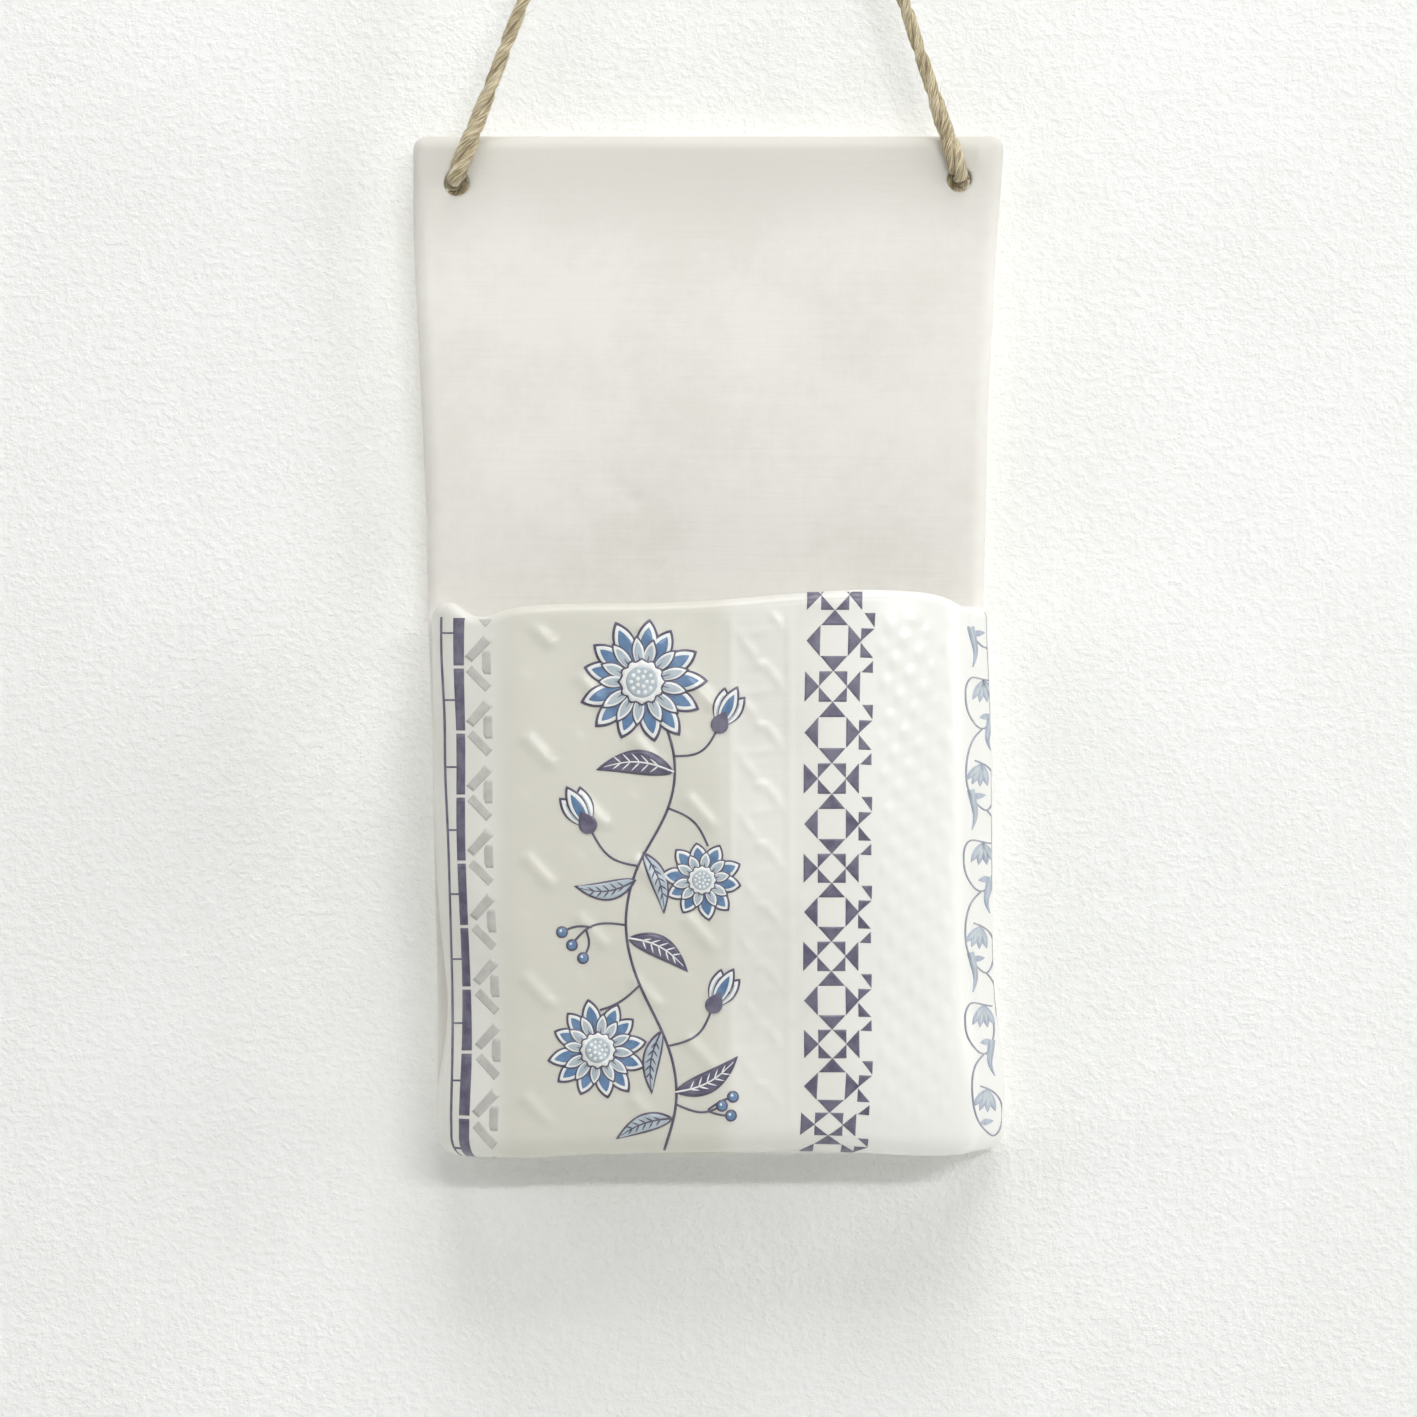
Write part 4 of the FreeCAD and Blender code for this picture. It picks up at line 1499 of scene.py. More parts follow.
    def place_at(self, across: Grid, height: Grid) -> Grid:
        """Find the place round the plan that has a given x, by steps along its slope.

        Args:
            across: x in the vase's own frame.
            height: height above the foot.

        Returns:
            The place for each x, off the plan's two ends.
        """
        small = 0.001
        table = np.linspace(0.03, 1.0, 400)
        mean_x, _ = self.level_point(table, np.full(400, self.height / 2.0))
        place = np.interp(across - SLAB_CENTRE, np.maximum.accumulate(mean_x), table)
        for _ in range(7):
            x_here, _ = self.level_point(place, height)
            x_next, _ = self.level_point(place + small, height)
            slope = np.maximum((x_next - x_here) / small, 20.0)
            place = np.clip(place + (across - SLAB_CENTRE - x_here) / slope, 0.02, 0.9995)
        return place

    def relief(self, place: Grid, height: Grid, point: Grid) -> Grid:
        """Return how far the pressed pattern and the hand's waves stand out.

        Args:
            place: places along the plan.
            height: heights above the foot.
            point: the plain surface's points there, in the vase's own frame.

        Returns:
            The amount in millimetres, none near the foot and the rim.
        """
        side = self.rim_height(place) - self.thickness / 2.0
        shown = smooth_step((height - self.foot) / 4.0) * smooth_step((side - height) / 3.5)
        right, down = sheet_place(point)
        return PressedPattern().height(right, down) * shown

    def skin(self, place: Grid, height: Grid) -> Grid:
        """Return points of the finished outside: round the foot, up the side and onto the lip.

        Where the height is under the foot's radius or over the side's top, the inset is that of
        the quarter circle there.

        Args:
            place: how far round the plan.
            height: height above the foot.

        Returns:
            x, depth and height, with their own axis last, in millimetres.
        """
        lip = self.thickness / 2.0
        over = np.clip((height - self.rim_height(place) + lip) / lip, 0.0, 0.97)
        under = np.clip(1.0 - height / self.foot, 0.0, 0.98)
        inset = lip * (1.0 - np.sqrt(1.0 - over**2)) + self.foot * (1.0 - np.sqrt(1.0 - under**2))
        stand = self.relief(place, height, self.surface(place, height, inset))
        return self.surface(place, height, inset - stand)

    def section(self, place: Grid) -> tuple[Grid, Grid]:
        """Return the wall's upright section at each place along the plan.

        It runs round the foot, up the outside, over the rounded rim and down the inside.

        Args:
            place: places along the plan.

        Returns:
            Height and inset, one row to each step.
        """
        lip = self.thickness / 2.0
        side = self.rim_height(place) - lip
        plain = np.zeros_like(side)
        foot_angle = np.linspace(0.0, QUARTER_TURN, 8)[:-1, None]
        out_share = np.linspace(0.0, 1.0, self.rows)[:-1, None]
        lip_angle = np.linspace(0.0, 2.0 * QUARTER_TURN, 15)[:, None]
        in_share = np.linspace(1.0, 0.0, 57)[1:, None]
        heights = [
            self.foot * (1.0 - np.cos(foot_angle)) + plain,
            self.foot + out_share * (side - self.foot),
            side + lip * np.sin(lip_angle),
            in_share * side,
        ]
        insets = [
            self.foot * (1.0 - np.sin(foot_angle)) + plain,
            0.0 * out_share + plain,
            lip * (1.0 - np.cos(lip_angle)) + plain,
            self.thickness + 0.0 * in_share + plain,
        ]
        return np.concatenate(heights), np.concatenate(insets)

    def build(self, material: Material) -> Object:
        """Build the wall as one closed piece whose two ends go into the slab.

        Args:
            material: the glazed clay.

        Returns:
            The wall.
        """
        place = np.linspace(0.0, 1.0, self.columns)[None, :]
        heights, insets = self.section(place[0])
        places = np.broadcast_to(place, heights.shape)
        points = self.surface(places, heights, insets)
        outside = np.arange(len(heights))[:, None] < self.rows + 6
        stand = self.relief(places, heights, points) * outside
        points = self.surface(places, heights, insets - stand)
        sunk = points[:, [0, -1], :].copy()
        sunk[..., 1] += self.end_sunk
        points = np.concatenate([sunk[:, :1], points, sunk[:, 1:]], axis=1)
        rows, columns = points.shape[:2]
        low = np.arange(rows // 2 - 1)
        high = rows - 1 - low
        cap = np.stack([low, low + 1, high - 1, high], axis=1) * columns
        caps = [cap, cap[:, ::-1] + columns - 1]
        stock = Stock()
        faces = np.concatenate([grid_faces(rows, columns, ring_rows=True), *caps])
        stock.add(to_world(points), faces)
        piece = stock.piece("pocket")
        close_seams(piece)
        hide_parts("pocket_wall")
        place_piece(piece, "glazed_clay", material)
        return piece

    def build_seam(self, material: Material) -> Object:
        """Build the bead of clay that is smoothed into the corner between wall and floor.

        Its section is a hollow quarter round that is carried along the inside of the plan.

        Args:
            material: the glazed clay.

        Returns:
            The bead.
        """
        place = np.linspace(0.012, 0.988, 150)[None, :]
        angle = np.linspace(0.0, QUARTER_TURN, 7)[:, None]
        size, sunk, back = self.seam_size, 0.05, self.thickness - 0.6
        under = [[self.floor_top - 0.8]]
        height = np.r_[self.floor_top + size * (1.0 - np.sin(angle)) - sunk, under]
        inset = np.r_[self.thickness - sunk + size * (1.0 - np.cos(angle)), [[back]]]
        points = self.surface(*np.broadcast_arrays(place, height, inset))
        stock = Stock()
        stock.add(to_world(points), grid_faces(*points.shape[:2], ring_rows=True))
        piece = stock.piece("floor_seam")
        place_piece(piece, "glazed_clay", material)
        return piece


# The painted patterns


class Paint(Enum):
    """The colours of the printed glaze, by the names of their pieces."""

    SLATE = "slate"
    STONE = "stone_grey"
    LINE = "dark_line"
    BLUE = "blue"
    MIST = "mist_blue"
    PALE = "pale"
    LEAF = "leaf_grey"
    THREAD = "thread_grey"


def patches(corners: Grid, rows: int = 5, columns: int = 5) -> Grid:
    """Fill four-cornered patches: a point is the mean of the corners, weighed by both its shares.

    Args:
        corners: the corners of each patch in order, on the sheet.
        rows: points along the sides from the first corner to the last.
        columns: points along the side from the first corner to the second.

    Returns:
        A grid of sheet places for each patch.
    """
    corners = np.asarray(corners, float).reshape(-1, 4, 1, 1, 2)
    down = np.linspace(0.0, 1.0, rows)[:, None, None]
    over = np.linspace(0.0, 1.0, columns)[None, :, None]
    upper = corners[:, 0] * (1.0 - over) + corners[:, 1] * over
    lower = corners[:, 3] * (1.0 - over) + corners[:, 2] * over
    return upper * (1.0 - down) + lower * down


def stroke(points: Grid, width: float, steps: int = 60, taper: float = 0.0) -> Grid:
    """Draw a line through points: a smooth curve with half its width to each side.

    Args:
        points: places on the sheet that it goes through.
        width: its full width, in drawing units.
        steps: number of points along it.
        taper: share of the width that it loses towards its end.

    Returns:
        One grid of sheet places.
    """
    points = np.asarray(points, float)
    runs = np.r_[0.0, np.cumsum(np.linalg.norm(np.diff(points, axis=0), axis=1))]
    curve = SmoothCurve(np.c_[runs / runs[-1], points])
    middle = curve.at(np.linspace(0.0, 1.0, steps))
    along = np.gradient(middle, axis=0)
    side = np.stack([-along[:, 1], along[:, 0]], axis=1) / np.linalg.norm(along, axis=1)[:, None]
    half = width / 2.0 * (1.0 - taper * np.linspace(0.0, 1.0, steps) ** 2)[:, None]
    return np.stack([middle - side * half, middle, middle + side * half], axis=1)[None]


def blades(
    base: Grid,
    tip: Grid,
    wide: float,
    bend: float = 0.0,
    full: float = 0.8,
    steps: tuple[int, int] = (21, 9),
) -> Grid:
    """Fill petals or leaves.

    A blade's middle runs from its base to its tip, bowed sideways by a parabola. Its half width
    is the sine of its share of the way, raised to a power, so that it is pointed at the tip.

    Args:
        base: where each blade starts on the sheet.
        tip: where each ends.
        wide: full width, in drawing units.
        bend: how far the middle bows sideways.
        full: how far down the widest place is, over 1 nearer the tip and under 1 nearer the base.
        steps: points along and across.

    Returns:
        A grid of sheet places for each blade.
    """
    base = np.asarray(base, float).reshape(-1, 1, 2)
    tip = np.asarray(tip, float).reshape(-1, 1, 2)
    share = np.linspace(0.0, 1.0, steps[0])[None, :, None]
    run = tip - base
    length = np.linalg.norm(run, axis=-1, keepdims=True)
    side = np.stack([-run[..., 1], run[..., 0]], axis=-1) / length
    middle = base + run * share + side * bend * 4.0 * share * (1.0 - share)
    half = wide / 2.0 * np.sin(math.pi * share**full) ** 0.85
    over = np.linspace(-1.0, 1.0, steps[1])[None, None, :, None]
    return middle[:, :, None, :] + (side * half)[:, :, None, :] * over


def star_discs(
    centre: Grid, radius: float, lobes: int = 0, depth: float = 0.0, steps: int = 13
) -> Grid:
    """Fill discs, with scalloped edges if they have lobes.

    A square grid is drawn to a disc: each square ring becomes a circle of its own radius, which
    is made larger and smaller by the cosine of its angle times the lobes.

    Args:
        centre: the discs' centres on the sheet.
        radius: their radius.
        lobes: number of lobes round the edge.
        depth: share of the radius that the lobes take.
        steps: points along each side of the grid.

    Returns:
        A grid of sheet places for each disc.
    """
    side = np.linspace(-1.0, 1.0, steps)
    over, down = np.meshgrid(side, side)
    ring = np.maximum(np.abs(over), np.abs(down))
    angle = np.arctan2(down, over)
    size = radius * ring * (1.0 + depth * np.cos(lobes * angle) * ring)
    disc = np.stack([size * np.cos(angle), size * np.sin(angle)], axis=-1)
    return np.asarray(centre, float).reshape(-1, 1, 1, 2) + disc


@dataclass
class Paintwork:
    """Lays thin films of printed glaze on the pocket, one piece to each colour."""

    pocket: Pocket
    sunk: float = 0.12
    stocks: dict[Paint, Stock] = field(default_factory=dict)

    def trace(self, right: Grid, down: Grid) -> tuple[Grid, Grid]:
        """Find the pocket's place and height behind each place on the drawing sheet.

        The depth is guessed, the sheet's place is carried to it, and the pocket's depth there is
        the next guess.

        Args:
            right: units from the sheet's left.
            down: units from its top.

        Returns:
            Places along the plan and heights above the foot.
        """
        depth = np.full(right.shape, SLAB_FRONT - self.pocket.depth)
        height = np.full(right.shape, self.pocket.height / 2.0)
        for _ in range(5):
            level = SLAB_FOOT + height
            y = HINGE[1] + depth * math.cos(LEAN) - level * math.sin(LEAN)
            unit = SHEET_UNIT * (y - EYE[1]) / EYE_DISTANCE
            across = EYE[0] + (right - SHEET_MIDDLE) * unit
            up = EYE[2] - (down - SHEET_MIDDLE) * unit
            level = (up - HINGE[2] - depth * math.sin(LEAN)) / math.cos(LEAN)
            rise = (SLAB_FRONT - depth) / self.pocket.depth * self.pocket.front_rise
            height = np.clip(level - SLAB_FOOT - rise, 0.05, self.pocket.height * 1.03)
            place = self.pocket.place_at(across, height)
            depth = SLAB_FRONT - self.pocket.level_point(place, height)[1]
        return place, height

    def lay(self, paint: Paint, shapes: Grid, lift: float) -> None:
        """Lay films, each as a closed shell that follows the pocket's skin.

        The top is lifted off the skin along its normal and the underside is sunk into it. The
        normal is the cross product of the skin's two slopes.

        Args:
            paint: the colour.
            shapes: a grid of sheet places for each film.
            lift: how far the top stands off the skin, in millimetres.
        """
        place, height = self.trace(shapes[..., 0], shapes[..., 1])
        point = self.pocket.skin(place, height)
        over = self.pocket.skin(place + 0.0015, height) - self.pocket.skin(place - 0.0015, height)
        up = self.pocket.skin(place, height + 0.12) - self.pocket.skin(place, height - 0.12)
        normal = np.cross(over, up)
        normal /= np.maximum(np.linalg.norm(normal, axis=-1, keepdims=True), 1e-9)
        top = point + normal * lift
        under = point - normal * self.sunk
        count, rows, columns = top.shape[:3]
        shell = np.stack([top, under], axis=1)
        faces = shell_faces(grid_faces(rows, columns), rows, columns)
        every = faces + (np.arange(count) * 2 * rows * columns)[:, None, None]
        stock = self.stocks.setdefault(paint, Stock())
        stock.add(to_world(shell), every.reshape(-1, 4))

    def build(self, materials: dict[Paint, Material]) -> None:
        """Make one piece of each colour.

        Args:
            materials: the material of each colour.
        """
        for paint, stock in self.stocks.items():
            piece = stock.piece(f"painted_{paint.value}")
            close_seams(piece)
            place_piece(piece, "glazed_clay", materials[paint])


def clip_corners(corners: Grid, low: float, high: float) -> Grid:
    """Cut flat shapes off above one line and below another, both level on the sheet.

    Where a side crosses a line, its crossing point is the mean of its ends weighed by how far
    each is from the line. The corners that stay are moved up to the front of their row.

    Args:
        corners: the corners of each shape in order, one row to each shape.
        low: smallest place down the sheet that stays.
        high: largest place down the sheet that stays.

    Returns:
        Four-cornered shapes, a triangle with its last corner twice.
    """
    count = np.full(len(corners), corners.shape[1])
    for line, sign in ((low, 1.0), (high, -1.0)):
        slots = np.arange(corners.shape[1])
        real = slots < count[:, None]
        after = np.where(slots + 1 < count[:, None], slots + 1, 0)
        inside = sign * (corners[..., 1] - line)
        inside_after = np.take_along_axis(inside, after, 1)
        crosses = inside * inside_after < 0.0
        share = inside / np.where(crosses, inside - inside_after, 1.0)
        run = np.take_along_axis(corners, after[..., None], 1) - corners
        both = np.stack([corners, corners + run * share[..., None]], axis=2)
        kept = np.stack([real & (inside >= 0.0), real & crosses], axis=2).reshape(len(corners), -1)
        order = np.argsort(~kept, axis=1, kind="stable")[:, : len(slots) + 1]
        corners = np.take_along_axis(both.reshape(len(corners), -1, 2), order[..., None], 1)
        count = kept.sum(axis=1)
    fourth = np.where(count > 3, 3, 2)[:, None]
    first = np.concatenate([np.tile([0, 1, 2], (len(corners), 1)), fourth], axis=1)
    second = np.tile([0, 3, 4, 4], (len(corners), 1))
    fans = np.take_along_axis(corners[:, None], np.stack([first, second], axis=1)[..., None], 2)
    return fans[np.stack([count >= 3, count > 4], axis=1)]


@dataclass(frozen=True)
class BrickStripe:
    """Dark stripe of long bricks beside a thin line with cross ticks, near the left corner."""

    top: float = 618.0
    end: float = 1156.0
    lift: float = 0.05
    gaps: tuple[float, ...] = (667.0, 732.0, 796.0, 862.0, 926.5, 988.0, 1052.0, 1114.5)
    ticks: tuple[float, ...] = (633.0, 700.0, 767.0, 830.0, 894.0, 959.0, 1023.0, 1080.0, 1145.0)
    # Each line's place across at places down the sheet: the thin line and the bricks' two sides
    line: Table = (
        (617, 441.5), (650, 441.5), (690, 443.4), (720, 444.8), (760, 445.3), (830, 448.0),
        (897, 449.8), (960, 451.2), (1065, 452.6), (1110, 451.8), (1154, 451.2),
    )
    left: Table = (
        (618, 453.4), (667, 453.8), (700, 454.9), (730, 456.2), (760, 456.6), (832, 456.8),
        (897, 459.0), (990, 462.2), (1065, 461.2), (1113, 459.4), (1156, 458.6),
    )
    right: Table = (
        (618, 464.5), (667, 464.0), (730, 465.0), (832, 465.3), (897, 467.2), (990, 470.7),
        (1065, 471.4), (1113, 469.6), (1156, 469.0),
    )

    def paint(self, work: Paintwork) -> None:
        """Lay the line, its ticks and the bricks.

        Args:
            work: the films are laid there.
        """
        down = np.linspace(self.top - 1.0, self.end - 2.0, 160)
        middle = value_at(self.line, down)
        ribbon = np.stack([middle - 1.1, down, middle + 1.1, down], axis=1).reshape(-1, 2, 2)
        work.lay(Paint.SLATE, ribbon[None], self.lift)
        ticks = np.array(self.ticks)
        start, end = value_at(self.line, ticks), value_at(self.left, ticks)
        high, low = ticks - 0.9, ticks + 0.9
        bars = np.stack([start, high, end, high, end, low, start, low], axis=1)
        work.lay(Paint.SLATE, patches(bars, 2, 5), self.lift)
        tops = np.r_[self.top, np.array(self.gaps) + 1.6][:, None, None]
        feet = np.r_[np.array(self.gaps) - 1.6, self.end][:, None, None]
        level = tops + (feet - tops) * np.linspace(0.0, 1.0, 18)[None, :, None]
        level = np.broadcast_to(level, (len(tops), 18, 6))
        over = np.linspace(0.0, 1.0, 6)[None, None, :]
        across = value_at(self.left, level) * (1.0 - over) + value_at(self.right, level) * over
        work.lay(Paint.SLATE, np.stack([across, level], axis=-1), self.lift)

    def drift(self, down: Grid) -> Grid:
        """Return how far the borders on the left have drifted to the right of their top."""
        return (value_at(self.right, down) - 464.5) * 1.25


@dataclass(frozen=True)
class HerringboneBorder:
    """Pale grey border of slanting bars in pairs with an upright bar in each."""

    first: float = 657.0
    period: float = 64.6
    repeats: int = 8
    lift: float = 0.04

    def paint(self, work: Paintwork, stripe: BrickStripe) -> None:
        """Lay the bars of every repeat, drifting as the stripe beside them does.

        Args:
            work: the films are laid there.
            stripe: the stripe.
        """
        rising = [(484.9, -22.4), (492.6, -15.6), (472.2, 5.2), (465.6, -0.4)]
        falling = [(472.8, 8.3), (491.7, 28.2), (485.6, 34.8), (466.7, 14.9)]
        upright = [(484.6, -6.0), (491.7, -6.0), (491.7, 17.0), (484.6, 17.0)]
        inset = [(482.7, -2.5), (484.8, -6.0), (484.8, 17.0), (482.7, 12.0)]
        unit = np.array([rising, falling, upright, inset])
        starts = self.first + self.period * np.arange(-1, self.repeats + 1)
        corners = unit[None] + np.stack([np.zeros_like(starts), starts], -1)[:, None, None, :]
        shapes = patches(clip_corners(corners.reshape(-1, 4, 2), 619.0, 1154.0), 9, 9)
        shapes[..., 0] += stripe.drift(shapes[..., 1])
        work.lay(Paint.STONE, shapes, self.lift)


@dataclass(frozen=True)
class TriangleBorder:
    """Slate border of squares in diamonds and diamonds in squares, like a quilt's edge."""

    top: float = 591.5418
    foot: float = 1153.5
    lift: float = 0.05
    # Number of each repeat, and its middle's places down and across
    middles: Table = (
        (-1.0, 548.5, 837.0), (0.0, 640.5, 834.2), (1.0, 732.5, 832.2), (2.0, 824.0, 831.8),
        (3.0, 912.0, 831.6), (4.0, 1000.5, 831.6), (5.0, 1086.4, 831.6), (5.5, 1125.8, 828.6),
        (5.83, 1145.4, 828.0), (6.0, 1152.4, 827.6), (7.0, 1190.0, 827.0),
    )

    def unit(self) -> Grid:
        """Return one repeat's dark triangles, across from its middle and down by its period."""
        square, tip, wide = 0.168, 0.336, 27.6
        half = 14.0
        large = [
            [(-half, -square), (-half, square), (-wide, 0.0)],
            [(half, -square), (half, square), (wide, 0.0)],
            [(-half + 0.6, -square), (half - 0.6, -square), (0.0, -tip)],
            [(-half + 0.6, square), (half - 0.6, square), (0.0, tip)],
        ]
        top, low, mid = 0.334, 0.666, 0.5
        small = [
            [(-half, top), (-0.4, top), (-half, mid - 0.004)],
            [(half, top), (0.4, top), (half, mid - 0.004)],
            [(-half, low), (-0.4, low), (-half, mid + 0.004)],
            [(half, low), (0.4, low), (half, mid + 0.004)],
            [(-wide - 0.6, top), (-wide - 0.6, low), (-half + 0.2, mid)],
            [(wide - 0.6, top), (wide - 0.6, low), (half - 0.2, mid)],
        ]
        edge, far = 27.0, 40.0
        side = [
            [(edge + 2.6, -0.30), (far + 0.4, -0.30), (far, -0.142)],
            [(edge, -0.135), (far, -0.128), (edge - 0.4, 0.008)],
            [(edge - 0.4, 0.022), (far - 0.6, 0.188), (edge - 0.4, 0.185)],
            [(far - 0.6, 0.222), (far - 0.4, 0.352), (edge + 1.2, 0.345)],
        ]
        return np.array(large + small + side)

    def paint(self, work: Paintwork) -> None:
        """Lay the triangles of every repeat between the rim and the foot.

        Args:
            work: the films are laid there.
        """
        repeats = np.arange(-1, 7)[:, None, None]
        unit = self.unit()
        level = SmoothCurve(self.middles).at(repeats + unit[None, ..., 1])
        corners = np.stack([level[..., 1] + unit[None, ..., 0], level[..., 0]], axis=-1)
        shapes = patches(clip_corners(corners.reshape(-1, 3, 2), self.top, self.foot), 9, 9)
        work.lay(Paint.SLATE, shapes, self.lift)


@dataclass(frozen=True)
class ScrollBorder:
    """Running scroll of open ovals on the right side wall, with a bell flower in each oval."""

    first: float = 677.6
    period: float = 162.6
    lift: float = 0.07
    # Place across and down in a repeat, and turn, of each bell
    bells: Table = ((983.0, 2.0, 0.0), (981.0, 86.0, -0.25))
    long_leaves: tuple[Table, ...] = (
        ((990.8, 37.0), (988.4, 50.0), (986.8, 61.0), (990.2, 73.0)),
        ((970.4, 112.0), (973.6, 126.0), (975.2, 138.0), (972.3, 152.0)),
    )
    short_leaves: tuple[Table, ...] = (
        ((990.0, 38.0), (979.0, 40.0)), ((972.0, 119.0), (985.0, 117.5)),
    )
    # The scroll's line in two parts, each as places across and down from the top of its repeat
    open_oval: Table = (
        (992, 3.3), (987, 2.6), (978, 0.6), (970.6, 0.4), (966, 6), (964.4, 17.7), (965.3, 28),
        (968, 36.8), (973, 45), (978.5, 50.2), (984, 50.6), (988, 46), (992, 36.8), (993.6, 27),
        (993.2, 20),
    )
    shut_oval: Table = (
        (981.4, 51.6), (973.7, 59.8), (967.5, 75), (965.6, 94.2), (968, 111.4), (973, 121.5),
        (979, 128.5), (986.1, 132.5), (992.4, 123.9), (994.4, 110.5), (992.6, 97), (986.1, 88.5),
        (974.2, 82.9),
    )
    link: Table = ((986.1, 132.5), (991.5, 139), (996, 150), (998, 162), (997, 176))
    edge: Table = (
        (590, 986), (700, 990.5), (800, 992), (900, 993.5), (1000, 996), (1080, 1002.5),
        (1150, 1001.5),
    )

    def inside(self, shapes: Grid) -> Grid:
        """Let shapes drift outwards near the foot, and hold them off the pocket's right outline."""
        across, down = shapes[..., 0], shapes[..., 1]
        across = across + 8.0 * smooth_step((down - 1030.0) / 90.0)
        return np.stack([np.minimum(across, value_at(self.edge, down) - 1.3), down], axis=-1)

    def bell(self, work: Paintwork, top: Grid, turn: float) -> None:
        """Lay a small bell flower of four pointed petals, pale inside, that hangs from its place.

        Args:
            work: the films are laid there.
            top: where it hangs from on the sheet.
            turn: how far it is turned from hanging straight down.
        """
        angle = turn + np.array([-0.52, -0.18, 0.18, 0.52])
        tips = top + 23.0 * np.stack([np.sin(angle), np.cos(angle)], axis=1)
        starts = np.repeat(top[None], 4, 0)
        hearts = blades(starts + (0.0, 2.0), starts + (tips - starts) * 0.80, 3.2)
        work.lay(Paint.LEAF, self.inside(blades(starts, tips, 7.0, full=0.95)), self.lift)
        work.lay(Paint.MIST, self.inside(hearts), self.lift + 0.02)

    def leaf(self, work: Paintwork, places: Grid, wide: float) -> None:
        """Lay a leaf that tapers down along a line, pale along its middle.

        Args:
            work: the films are laid there.
            places: places on the line.
            wide: its full width at the top.
        """
        pale = stroke(places[:-1], wide * 0.36, 24, 0.7)
        work.lay(Paint.LEAF, self.inside(stroke(places, wide, 30, 0.9)), self.lift + 0.01)
        work.lay(Paint.MIST, self.inside(pale), self.lift + 0.03)

    def paint(self, work: Paintwork) -> None:
        """Lay the line, flowers and leaves of every repeat between the rim and the foot.

        Args:
            work: the films are laid there.
        """
        for index in range(-1, 3):
            start = np.array([0.0, self.first + self.period * index])
            for line in (self.open_oval, self.shut_oval, self.link):
                points = np.array(line) + start
                points = points[(points[:, 1] > 610.0) & (points[:, 1] < 1147.0)]
                if len(points) > 2:
                    thread = stroke(points, 1.6, 110)
                    work.lay(Paint.THREAD, self.inside(thread), self.lift)
            for across, down, turn in self.bells:
                if 608.0 < down + start[1] < 1122.0:
                    self.bell(work, np.array([across, down]) + start, turn)
            for line in self.long_leaves:
                points = np.array(line) + start
                if points[0, 1] > 612.0 and points[-1, 1] < 1147.0:
                    self.leaf(work, points, 7.0)
            for line in self.short_leaves:
                ends = np.array(line) + start
                if 612.0 < ends[0, 1] < 1146.0:
                    leaf = blades(ends[:1], ends[1:], 6.0)
                    work.lay(Paint.LEAF, self.inside(leaf), self.lift + 0.02)


